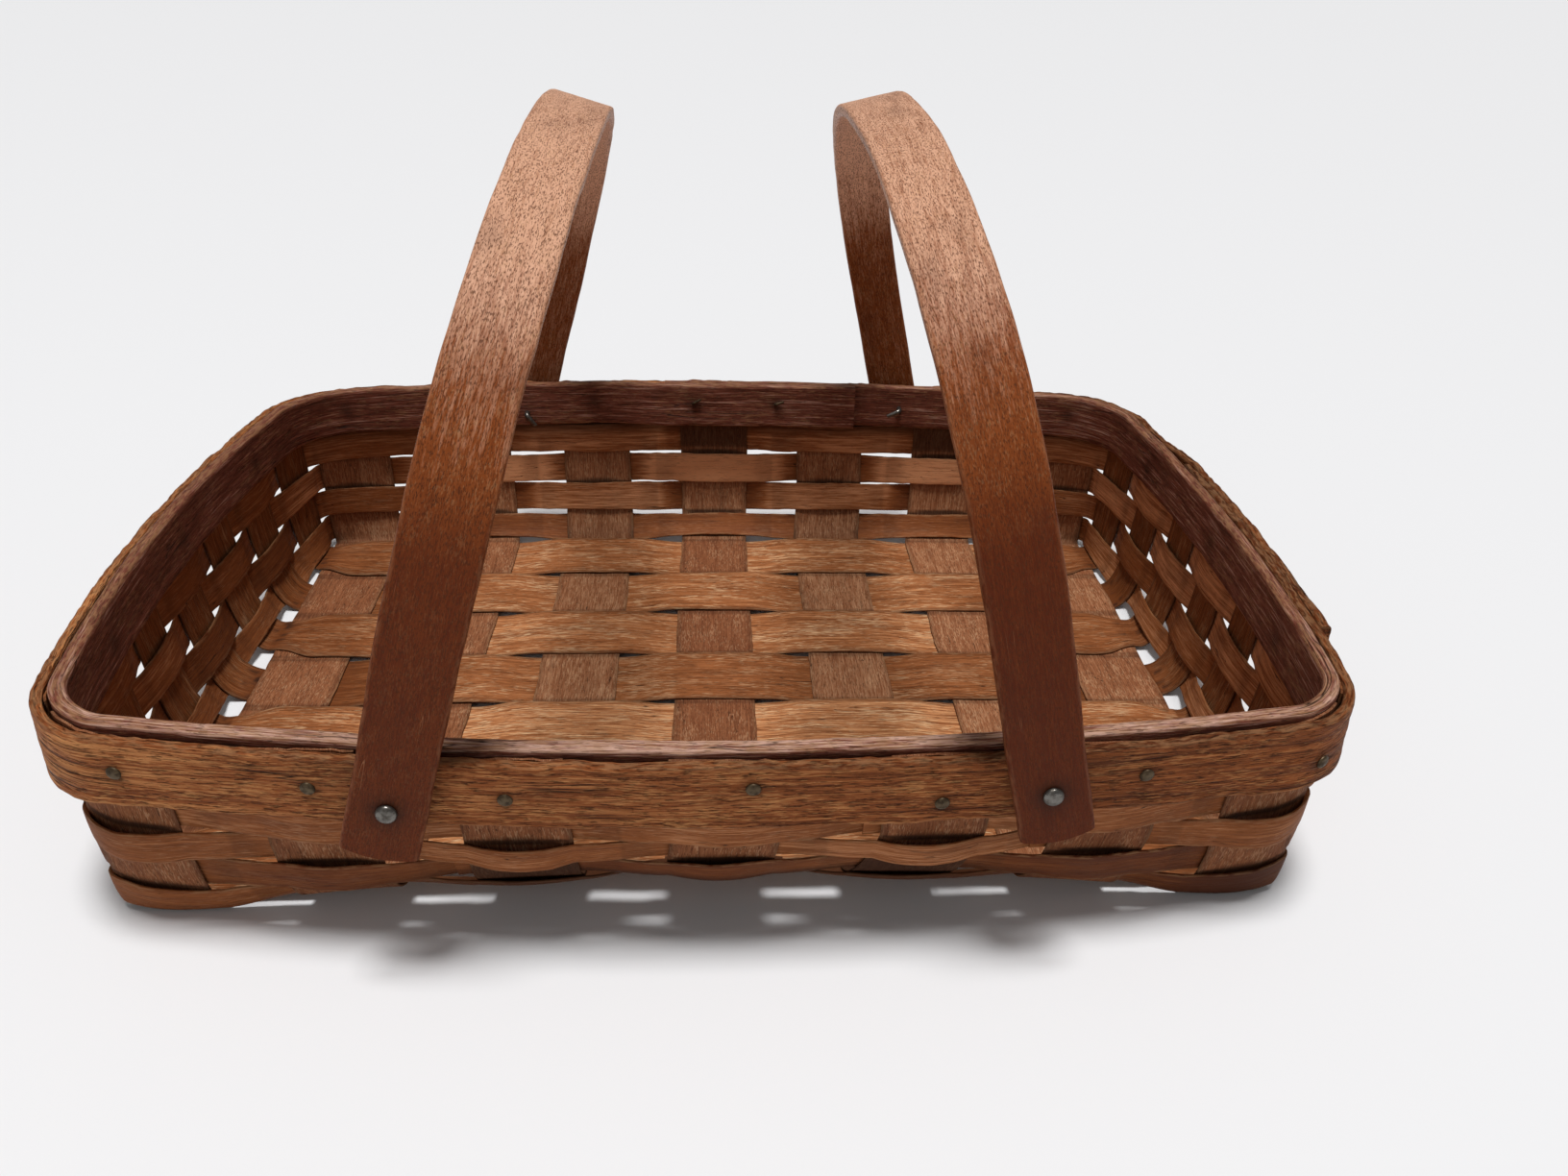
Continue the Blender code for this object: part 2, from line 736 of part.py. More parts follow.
def makePivotNail(side, end, x, z, skew, material, collection):
    outward = -1 if end == "front" else 1
    direction = Vector((-outward * math.sin(skew), outward * math.cos(skew), 0.0))
    seat = handleHalfSpan() + splintGap
    bandsThickness = outerBandThickness + outerBandFlare + 2 * bandSeat + innerBandThickness
    grip = seat - outerBandFace(x + pivotShift(outward, skew), z) + bandsThickness + 2 * splintGap
    head = (pivotHeadRadius, pivotHeadHeight)
    upset = (pivotEndRadius, pivotEndLength)
    name = f"{side}_pivot_{end}"
    nail = makeNail(name, head, pivotShankRadius, grip, upset, pivotSides, material, collection)
    pivot = Vector((x, 0.0, z))
    aim(nail, pivot + direction * seat, direction)
    middle = pivot + direction * (seat - grip / 2)
    return middle, direction, pivotShankRadius + holeRoom, grip + 2 * cutMargin, pivotSides


def main():
    clearScene()
    parts = makeCollection("gathering_basket")
    cutters = makeCollection("basket_cutters")
    crossWood = makeMaterial("cross splint wood", (0.150, 0.072, 0.034), 0.62)
    longWood = makeMaterial("long splint wood", (0.215, 0.098, 0.040), 0.58)
    weaverWood = makeMaterial("weaver wood", (0.165, 0.066, 0.030), 0.50)
    innerBandWood = makeMaterial("inner band wood", (0.120, 0.048, 0.034), 0.48)
    outerBandWood = makeMaterial("outer band wood", (0.205, 0.085, 0.034), 0.60)
    handleWood = makeMaterial("handle wood", (0.165, 0.060, 0.028), 0.38)
    bronze = makeMaterial("rim nail metal", (0.210, 0.165, 0.095), 0.45, 0.8)
    steel = makeMaterial("pivot nail metal", (0.400, 0.380, 0.350), 0.32, 0.9)

    rimRods = [makeRimNail(*place, bronze, parts) for place in rimNailPlaces()]
    pivotRods = []
    leftPivot = (leftPivotX, leftPivotZ)
    rightPivot = (rightPivotX, rightPivotZ)
    for end in ("front", "back"):
        pivotRods.append(makePivotNail("left", end, *leftPivot, leftSkew, steel, parts))
        pivotRods.append(makePivotNail("right", end, *rightPivot, rightSkew, steel, parts))
    nailHoles = makeHoleCutter("nail_hole_cutter", rimRods + pivotRods, cutters)
    pivotHoles = makeHoleCutter("pivot_hole_cutter", pivotRods, cutters)

    for number in numbersOf(crossCount):
        addHoles(makeCrossSplint(number, crossWood, parts), nailHoles)
    for number in numbersOf(longCount):
        addHoles(makeLongSplint(number, longWood, parts), nailHoles)
    for number in range(weaverCount):
        makeWeaver(number, weaverLapColumns[number % len(weaverLapColumns)], weaverWood, parts)
    addHoles(makeInnerBand(innerBandWood, parts), nailHoles)
    addHoles(makeOuterBand(outerBandWood, parts), nailHoles)
    leftTurns = (leftLean, leftSkew)
    rightTurns = (rightLean, rightSkew)
    makeHandle("left_handle", *leftPivot, leftRise, leftTurns, pivotHoles, handleWood, parts)
    makeHandle("right_handle", *rightPivot, rightRise, rightTurns, pivotHoles, handleWood, parts)


main()
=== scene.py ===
# Gathering basket: splints woven into a low rectangular basket, two nailed rim bands and
# two bentwood handles that swing on nails. Metres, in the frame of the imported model.
import math

import bpy
import numpy as np
from mathutils import Matrix, Vector


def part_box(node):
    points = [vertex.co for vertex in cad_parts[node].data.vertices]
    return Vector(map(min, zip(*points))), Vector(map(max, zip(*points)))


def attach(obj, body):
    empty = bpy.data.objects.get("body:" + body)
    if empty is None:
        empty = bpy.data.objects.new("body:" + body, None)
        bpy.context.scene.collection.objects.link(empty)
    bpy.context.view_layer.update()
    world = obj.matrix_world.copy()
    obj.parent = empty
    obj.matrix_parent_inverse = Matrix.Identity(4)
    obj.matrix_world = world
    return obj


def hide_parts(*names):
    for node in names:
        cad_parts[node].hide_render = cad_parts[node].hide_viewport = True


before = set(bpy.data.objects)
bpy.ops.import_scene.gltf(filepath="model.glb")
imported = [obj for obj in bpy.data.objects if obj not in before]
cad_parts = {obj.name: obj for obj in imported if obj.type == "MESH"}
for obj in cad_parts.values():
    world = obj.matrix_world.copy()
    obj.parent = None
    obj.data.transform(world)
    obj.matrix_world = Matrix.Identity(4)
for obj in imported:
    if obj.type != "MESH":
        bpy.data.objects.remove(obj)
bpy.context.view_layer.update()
bpy.ops.object.select_all(action="DESELECT")
scene = bpy.context.scene
scene.view_settings.view_transform = "Standard"


# Sets a socket to a number, a vector or a colour, or links it to another socket
def feed(tree, socket, value):
    if isinstance(value, bpy.types.NodeSocket):
        tree.links.new(value, socket)
    else:
        socket.default_value = (*value, 1) if socket.type == "RGBA" else value


def feedAll(tree, node, inputs):
    for key, value in inputs.items():
        feed(tree, node.inputs[key], value)


def newMaterial(name):
    made = bpy.data.materials.new(name)
    made.use_nodes = True
    return made, made.node_tree, made.node_tree.nodes["Principled BSDF"]


# The camera as fitted to the photo, the floor and the light

cameraView = {
    "place": (-0.0005, -0.4816, 0.3345),
    "pitch": 30.19,
    "yaw": 3.89,
    "roll": 1.89,
    "lens": 27.574,
    "sensorWidth": 36,
    "nearest": 0.01,
}
studio = {
    "floorSize": 24,
    "floorColour": (0.80, 0.80, 0.81),
    "floorRoughness": 0.7,
    "worldColour": (1.0, 1.0, 1.0),
    "worldStrength": 0.18,
    "sunPlace": (0, 0, 2),
    "sunStrength": 2.9,
    "sunAngle": 16.0,
    "sunTilt": (4.0, 0.0, 0.0),
    "fillPlace": (-0.9, -2.2, 1.2),
    "fillSize": 1.6,
    "fillPower": 5.0,
}


def makeCamera():
    bpy.ops.object.camera_add(location=cameraView["place"])
    camera = bpy.context.object
    turn = Matrix.Rotation(-math.radians(cameraView["yaw"]), 4, "Z")
    turn = turn @ Matrix.Rotation(math.radians(90 - cameraView["pitch"]), 4, "X")
    turn = turn @ Matrix.Rotation(math.radians(cameraView["roll"]), 4, "Z")
    camera.matrix_world = Matrix.Translation(Vector(cameraView["place"])) @ turn
    camera.data.lens = cameraView["lens"]
    camera.data.sensor_width = cameraView["sensorWidth"]
    camera.data.clip_start = cameraView["nearest"]
    scene.camera = camera


def makeStudio():
    bpy.ops.mesh.primitive_plane_add(size=studio["floorSize"], location=(0, 0, 0))
    floor = bpy.context.object
    floor.name = "floor"
    cloth, tree, shader = newMaterial("pale floor")
    feedAll(tree, shader, {"Base Color": studio["floorColour"], "Roughness": studio["floorRoughness"]})
    floor.data.materials.append(cloth)
    world = bpy.data.worlds.new("studio")
    world.use_nodes = True
    tree = world.node_tree
    light = {"Color": studio["worldColour"], "Strength": studio["worldStrength"]}
    feedAll(tree, tree.nodes["Background"], light)
    scene.world = world
    bpy.ops.object.light_add(type="SUN", location=studio["sunPlace"])
    sun = bpy.context.object
    sun.rotation_euler = [math.radians(angle) for angle in studio["sunTilt"]]
    sun.data.energy = studio["sunStrength"]
    sun.data.angle = math.radians(studio["sunAngle"])
    bpy.ops.object.light_add(type="AREA", location=studio["fillPlace"])
    fill = bpy.context.object
    fill.rotation_euler = Vector(studio["fillPlace"]).to_track_quat("Z", "Y").to_euler()
    fill.data.size = studio["fillSize"]
    fill.data.energy = studio["fillPower"]
    bpy.ops.object.select_all(action="DESELECT")


makeCamera()
makeStudio()
print("camera, floor and light are set")

# The basket's shape, as in the CAD model

basket = {
    "splintWidth": 0.038,
    "splintThickness": 0.0009,
    "splintGap": 0.0003,
    "bandSeat": 0.0010,
    "crossCount": 7,
    "crossSpacing": 0.0659,
    "longCount": 7,
    "longSpacing": 0.0405,
    "endUprightWidth": 0.026,
    "baseEdgeRoom": 0.0016,
    "baseCorner": 0.004,
    "backEdgeLift": 0.002,
    "frontEdgeLift": 0.0168,
    "underFade": (0.35, 0.5),
    "endFlare": 0.0132,
    "sideFlare": 0.0124,
    "rimHeight": 0.0915,
    "rimCorners": (0.028, 0.034),
    "longSideBow": 0.0220,
    "endBows": (0.0110, 0.0155),
    "wallBulge": (0.70, 0.84, 0.48),
    "outerBandThickness": 0.0040,
    "uprightShifts": (0.0, 0.0, 0.0, 0.0038, 0.0085, 0.0039, 0.0),
    "shiftHeights": (0.006, 0.042),
}
outlineSteps = 600  # points along a quarter of an outline
wallSteps = 80  # steps up a wall
wanderCells = 2048  # random values along a line, before they repeat
ruffleCells = (512, 64)  # the same over a surface
normalSteps = 3  # steps either way that a wall's normal is taken over
splintWidth = basket["splintWidth"]
splintThickness = basket["splintThickness"]
crossSpacing = basket["crossSpacing"]
longSpacing = basket["longSpacing"]
endUprightWidth = basket["endUprightWidth"]
weaveOffset = splintThickness + basket["splintGap"]
crossReach = (basket["crossCount"] - 1) // 2
longReach = (basket["longCount"] - 1) // 2
baseHalfLength = crossReach * crossSpacing + splintWidth / 2 + basket["baseEdgeRoom"]
baseHalfWidth = longReach * longSpacing + splintWidth / 2 + basket["baseEdgeRoom"]
baseLevel = weaveOffset + splintThickness / 2
bandSeat = basket["bandSeat"]
wallInset = basket["outerBandThickness"] + bandSeat


def softStep(share):
    share = np.clip(share, 0.0, 1.0)
    return share * share * (3 - 2 * share)


# From 0 up to 1 over a length
def fade(values, start, length):
    return softStep((values - start) / length)


# Smooth random wander along a line, from -1 to 1
def wander(place, seed, spacing):
    values = np.random.default_rng(seed).uniform(-1, 1, wanderCells)
    steps = np.asarray(place) / spacing + 500
    cell = np.floor(steps).astype(int)
    part = softStep(steps - cell)
    return values[cell % wanderCells] * (1 - part) + values[(cell + 1) % wanderCells] * part


# The same over a surface
def ruffle(along, across, seed, alongSpacing, acrossSpacing):
    countX, countY = ruffleCells
    values = np.random.default_rng(seed).uniform(-1, 1, ruffleCells)
    x = along / alongSpacing + 200
    y = across / acrossSpacing + 20
    cellX = np.floor(x).astype(int)
    cellY = np.floor(y).astype(int)
    partX = softStep(x - cellX)
    partY = softStep(y - cellY)
    rows = []
    for row in (cellY, cellY + 1):
        near = values[cellX % countX, row % countY]
        rows.append(near * (1 - partX) + values[(cellX + 1) % countX, row % countY] * partX)
    return rows[0] * (1 - partY) + rows[1] * partY


# A quarter of an outline from the middle of a long side round to the middle of an end
def quarterOutline(halfLength, halfWidth, corner, sideBow, endBow):
    along = np.linspace(0, halfLength - corner, outlineSteps)
    turn = np.linspace(0, math.pi / 2, outlineSteps)[1:]
    down = np.linspace(halfWidth - corner, 0, outlineSteps)[1:]
    x = np.concatenate([along, halfLength - corner + corner * np.sin(turn), np.full(len(down), halfLength)])
    y = np.concatenate([np.full(len(along), halfWidth), halfWidth - corner + corner * np.cos(turn), down])
    bowedX = x * (1 + endBow / halfLength * (1 - (y / halfWidth) ** 2))
    bowedY = y * (1 + sideBow / halfWidth * (1 - (x / halfLength) ** 2))
    lengths = np.concatenate([[0], np.cumsum(np.hypot(np.diff(bowedX), np.diff(bowedY)))])
    even = np.linspace(0, lengths[-1], outlineSteps + 1)
    return np.column_stack([np.interp(even, lengths, bowedX), np.interp(even, lengths, bowedY)]), lengths[-1]


# Round the whole outline: 0 is the middle of the front, 1 the right end, 2 the back and 3 the left end
def wholeOutline(halfLength, halfWidth, corners, sideBow, endBows):
    quarters = []
    for endBow, mirrorX in zip(endBows, (1, -1)):
        for corner, mirrorY in zip(corners, (-1, 1)):
            quarter, _ = quarterOutline(halfLength, halfWidth, corner, sideBow, endBow)
            quarters.append(quarter * (mirrorX, mirrorY))
    rightFront, rightBack, leftFront, leftBack = quarters
    inOrder = (rightFront, rightBack[::-1], leftBack, leftFront[::-1])
    return np.vstack([quarter[:-1] for quarter in inOrder])


# How high the base is lifted at a place: it stands on its two end columns
def baseLift(x, y):
    flatFrom = crossReach * crossSpacing - splintWidth / 2
    across = np.maximum(0.0, 1 - (x / flatFrom) ** 2)
    toFront = np.maximum(0.0, -y / baseHalfWidth) ** 2
    return across * (basket["backEdgeLift"] + (basket["frontEdgeLift"] - basket["backEdgeLift"]) * toFront)


# The middle surface of the walls on an even grid, with its normals and the length up each place
def makeWall():
    corner = basket["baseCorner"]
    low, high, height = basket["wallBulge"]
    base = wholeOutline(baseHalfLength, baseHalfWidth, (corner, corner), 0.0, (0.0, 0.0))
    rim = wholeOutline(
        baseHalfLength + basket["endFlare"] - wallInset,
        baseHalfWidth + basket["sideFlare"] - wallInset,
        [corner - wallInset for corner in basket["rimCorners"]],
        basket["longSideBow"],
        basket["endBows"],
    )
    floorZ = baseLevel + baseLift(base[:, 0], base[:, 1])
    t = np.linspace(0, 1, wallSteps + 1)
    outward = 3 * t * (1 - t) ** 2 * low + 3 * t**2 * (1 - t) * high + t**3
    upward = 3 * t**2 * (1 - t) * height + t**3
    points = np.zeros((len(base), len(t), 3))
    points[:, :, :2] = base[:, None, :] + (rim - base)[:, None, :] * outward[None, :, None]
    points[:, :, 2] = floorZ[:, None] + (basket["rimHeight"] - floorZ)[:, None] * upward[None, :]
    steps = np.linalg.norm(np.diff(points, axis=1), axis=2)
    lengths = np.concatenate([np.zeros((len(base), 1)), np.cumsum(steps, axis=1)], axis=1)
    for column in range(len(base)):
        even = np.linspace(0, lengths[column, -1], wallSteps + 1)
        for axis in range(3):
            points[column, :, axis] = np.interp(even, lengths[column], points[column, :, axis])
    along = np.roll(points, -normalSteps, axis=0) - np.roll(points, normalSteps, axis=0)
    normals = np.cross(along, np.gradient(points, axis=1))
    normals /= np.linalg.norm(normals, axis=2, keepdims=True)
    return points, normals, lengths[:, -1]


wallPoints, wallNormals, wallReach = makeWall()
baseQuarter = quarterOutline(baseHalfLength, baseHalfWidth, basket["baseCorner"], 0.0, 0.0)[1]


# The length up the wall at a place round it. A station is counted in quarters of the outline
def wallLength(station):
    place = (np.asarray(station, float) % 4) * outlineSteps
    first = np.floor(place).astype(int)
    share = place - first
    count = len(wallReach)
    return wallReach[first % count] * (1 - share) + wallReach[(first + 1) % count] * share


# Points on the wall by place round it, height up it and distance out of its middle surface
def onWall(station, height, offset=0.0):
    station, height, offset = np.broadcast_arrays(station, height, offset)
    place = (station % 4) * outlineSteps
    first = np.floor(place).astype(int)
    share = (place - first)[..., None]
    count = len(wallReach)
    row = np.clip(height / wallLength(station), 0, 1) * wallSteps
    low = np.minimum(np.floor(row).astype(int), wallSteps - 1)
    part = (row - low)[..., None]
    found = []
    for grid in (wallPoints, wallNormals):
        near = grid[first % count, low] * (1 - part) + grid[first % count, low + 1] * part
        far = grid[(first + 1) % count, low] * (1 - part) + grid[(first + 1) % count, low + 1] * part
        found.append(near * (1 - share) + far * share)
    return found[0] + found[1] * offset[..., None]


# Half a width on the wall, as a part of a station
def halfStation(station, height, width):
    nearby = 0.01
    span = np.linalg.norm(onWall(station + nearby, height) - onWall(station - nearby, height), axis=-1)
    return width * nearby / span


def crossStation(number, side):
    along = number * crossSpacing / baseQuarter
    return along if side == "front" else 2 - along


def longStation(number, side):
    along = number * longSpacing / baseQuarter
    return 1 + along if side == "right" else 3 - along


weaving = {
    "count": 4,
    "start": 0.0022,
    "gap": 0.0009,
    "bandHeight": 0.0240,
    "bandGap": 0.0005,
    "frontDrops": (0.0, 0.0, 0.0011, 0.0042, 0.0),
}
topWeaver = weaving["count"] - 1


# 1 along one side, fading to 0 round its corners: the front is side 0 and the back is side 2
def sideShare(station, side):
    return np.clip(1.6 - 2 * np.abs((station - side + 2) % 4 - 2), 0, 1)


# Where a weaver starts and ends on its way up the wall
def weaverSpan(number, station):
    room = wallLength(station) - weaving["bandHeight"] - weaving["bandGap"] - weaving["start"]
    pitch = room / weaving["count"]
    low, high = [weaving["frontDrops"][row] * sideShare(station, 0) for row in (number, number + 1)]
    start = weaving["start"] + number * pitch
    return start - low, start + pitch - weaving["gap"] - high


# Every upright: its station, its width, whether the first weaver passes inside it, and its lean
def allUprights():
    found = []
    for number in range(-crossReach, crossReach + 1):
        shift = basket["uprightShifts"][number + crossReach] / baseQuarter
        found.append((crossStation(number, "front") % 4, splintWidth, number % 2 == 0, shift))
        found.append((crossStation(number, "back") % 4, splintWidth, number % 2 == 0, 0.0))
    for number in range(-longReach, longReach + 1):
        for side in ("right", "left"):
            found.append((longStation(number, side) % 4, endUprightWidth, number % 2 == 1, 0.0))
    return sorted(found)


uprights = allUprights()

# Materials


def addNode(tree, kind, x, y, inputs=None, **settings):
    made = tree.nodes.new(kind)
    made.location = (x, y)
    for key, value in settings.items():
        setattr(made, key, value)
    feedAll(tree, made, inputs or {})
    return made


def addMath(tree, operation, x, y, *values, clamp=False):
    inputs = dict(enumerate(values))
    return addNode(tree, "ShaderNodeMath", x, y, inputs, operation=operation, use_clamp=clamp).outputs[0]


def addVector(tree, operation, x, y, first, second, key=1):
    inputs = {0: first, key: second}
    return addNode(tree, "ShaderNodeVectorMath", x, y, inputs, operation=operation).outputs[0]


def addNoise(tree, vector, x, y, detail, roughness=0.55, scale=1.0):
    inputs = {"Vector": vector, "Scale": scale, "Detail": detail, "Roughness": roughness}
    return addNode(tree, "ShaderNodeTexNoise", x, y, inputs).outputs["Fac"]


# Bumps per metre along the fibres, across them and into the wood
grainScales = {
    "sway": (18, 55, 55),
    "fibres": (62, 1500, 1500),
    "streaks": (11, 380, 380),
    "pores": (240, 2300, 2300),
    "flecks": (210, 2100, 2100),
    "fleckPlaces": (45, 130, 130),
    "cracks": (13, 260, 260),
    "crackPlaces": (16, 60, 60),
    "rubbing": (160, 700, 700),
    "soil": (30, 70, 70),
    "scratches": (22, 420, 420),
    "scratchPlaces": (33, 85, 85),
}


def addGrain(tree, vector, kind, x, y, detail, roughness=0.55):
    scaled = addVector(tree, "MULTIPLY", x - 200, y, vector, grainScales[kind])
    return addNoise(tree, scaled, x, y, detail, roughness)


def addRange(tree, value, x, y, low, high, toLow=0.0, toHigh=1.0):
    inputs = {"Value": value, "From Min": low, "From Max": high, "To Min": toLow, "To Max": toHigh}
    made = addNode(tree, "ShaderNodeMapRange", x, y, inputs, interpolation_type="SMOOTHSTEP")
    return made.outputs["Result"]


# Thin lines where a noise crosses its middle, only at the places where another noise is high
def addLines(tree, noise, width, places, x, y):
    centred = addMath(tree, "SUBTRACT", x, y, noise, 0.5)
    away = addMath(tree, "DIVIDE", x + 200, y, addMath(tree, "ABSOLUTE", x + 100, y, centred), width)
    lines = addMath(tree, "SUBTRACT", x + 300, y, 1.0, away, clamp=True)
    return addMath(tree, "MULTIPLY", x + 400, y, lines, places, clamp=True)


def addMix(tree, factor, first, second, x, y):
    inputs = {0: factor, 6: first, 7: second}
    return addNode(tree, "ShaderNodeMix", x, y, inputs, data_type="RGBA").outputs[2]


def addBump(tree, height, look, x, y):
    inputs = {"Strength": look["bump"], "Distance": look["bumpDepth"], "Height": height}
    return addNode(tree, "ShaderNodeBump", x, y, inputs).outputs["Normal"]


def newGroup(name, inputs, outputs):
    group = bpy.data.node_groups.new(name, "ShaderNodeTree")
    for label, kind, value in inputs:
        socket = group.interface.new_socket(name=label, in_out="INPUT", socket_type=kind)
        if value is not None:
            socket.default_value = value
    for label in outputs:
        group.interface.new_socket(name=label, in_out="OUTPUT", socket_type="NodeSocketFloat")
    start = addNode(group, "NodeGroupInput", -1200, 0)
    end = addNode(group, "NodeGroupOutput", 900, 0)
    return group, start, end


# Wood along the grain attribute: x runs with the fibres, y across them, z into the wood
def makeWoodGrain():
    inputs = [
        ("Grain", "NodeSocketVector", None),
        ("Fineness", "NodeSocketFloat", 1.0),
        ("Shortness", "NodeSocketFloat", 1.0),
        ("Waviness", "NodeSocketFloat", 0.0012),
        ("Pore Limit", "NodeSocketFloat", 0.60),
        ("Crack Width", "NodeSocketFloat", 0.01),
    ]
    outputs = ("Fibres", "Streaks", "Pores", "Flecks", "Cracks", "Height")
    group, start, end = newGroup("woodGrain", inputs, outputs)
    taken = start.outputs
    scaled = addVector(group, "SCALE", -1100, 100, taken["Grain"], taken["Fineness"], key="Scale")
    lengthwise = addNode(group, "ShaderNodeCombineXYZ", -1100, -100, {0: taken["Shortness"], 1: 1.0, 2: 1.0})
    grain = addVector(group, "MULTIPLY", -1000, 100, scaled, lengthwise.outputs[0])
    swell = addGrain(group, grain, "sway", -800, -300, 2)
    centred = addMath(group, "SUBTRACT", -700, -400, swell, 0.5)
    sway = addMath(group, "MULTIPLY", -600, -300, centred, taken["Waviness"])
    push = addNode(group, "ShaderNodeCombineXYZ", -500, -300, {"Y": sway})
    path = addVector(group, "ADD", -400, 0, grain, push.outputs[0])
    fibres = addGrain(group, path, "fibres", 0, 300, 4)
    streaks = addGrain(group, path, "streaks", 0, 100, 4, 0.6)
    poreNoise = addGrain(group, path, "pores", 0, -100, 2)
    fleckNoise = addGrain(group, path, "flecks", 0, -500, 2)
    crackNoise = addGrain(group, path, "cracks", 0, -700, 2, 0.4)
    crackPlace = addRange(group, addGrain(group, grain, "crackPlaces", 0, -900, 1), 200, -900, 0.52, 0.60)
    above = addMath(group, "SUBTRACT", 200, -100, poreNoise, taken["Pore Limit"])
    pores = addMath(group, "MULTIPLY", 350, -100, above, 14.0, clamp=True)
    fleckPlace = addGrain(group, grain, "fleckPlaces", 0, -1100, 2)
    patchy = addMath(group, "MULTIPLY_ADD", 200, -1000, fleckPlace, 0.45, fleckNoise)
    flecks = addRange(group, patchy, 300, -500, 0.78, 0.90)
    cracks = addLines(group, crackNoise, taken["Crack Width"], crackPlace, 200, -700)
    hollow = addMath(group, "MULTIPLY", 500, -200, pores, 0.45)
    height = addMath(group, "SUBTRACT", 650, 0, fibres, hollow)
    height = addMath(group, "SUBTRACT", 750, 0, height, cracks)
    feedAll(group, end, dict(zip(outputs, (fibres, streaks, pores, flecks, cracks, height))))
    return group


# Worn and soiled places: rubbed edges, and dirt that sits in broad patches
def makeWoodWear():
    inputs = [
        ("Grain", "NodeSocketVector", None),
        ("Edge", "NodeSocketFloat", 1.0),
        ("Reach", "NodeSocketFloat", 0.0012),
    ]
    outputs = ("Rubbed", "Soiled", "Scratches")
    group, start, end = newGroup("woodWear", inputs, outputs)
    grain = start.outputs["Grain"]
    broken = addRange(group, addGrain(group, grain, "rubbing", -800, 100, 3), -600, 100, 0.40, 0.60)
    near = addMath(group, "DIVIDE", -800, 300, start.outputs["Edge"], start.outputs["Reach"])
    away = addMath(group, "SUBTRACT", -600, 300, 1.35, near, clamp=True)
    rubbed = addMath(group, "MULTIPLY", -400, 300, away, broken, clamp=True)
    soiled = addRange(group, addGrain(group, grain, "soil", -800, -200, 4), -600, -200, 0.52, 0.75)
    lines = addGrain(group, grain, "scratches", -800, -500, 1)
    places = addRange(group, addGrain(group, grain, "scratchPlaces", -800, -800, 2), -600, -800, 0.64, 0.70)
    scratches = addLines(group, lines, 0.012, places, -600, -500)
    feedAll(group, end, dict(zip(outputs, (rubbed, soiled, scratches))))
    return group


def makeMetalTarnish():
    group, start, end = newGroup("metalTarnish", [("Place", "NodeSocketVector", None)], ("Tarnish", "Height"))
    spots = addNoise(group, start.outputs["Place"], -800, 100, 4, scale=420)
    fine = addNoise(group, start.outputs["Place"], -800, -100, 2, scale=2600)
    feedAll(group, end, {"Tarnish": addRange(group, spots, -500, 100, 0.35, 0.72), "Height": fine})
    return group


woodGrain = makeWoodGrain()
woodWear = makeWoodWear()
metalTarnish = makeMetalTarnish()


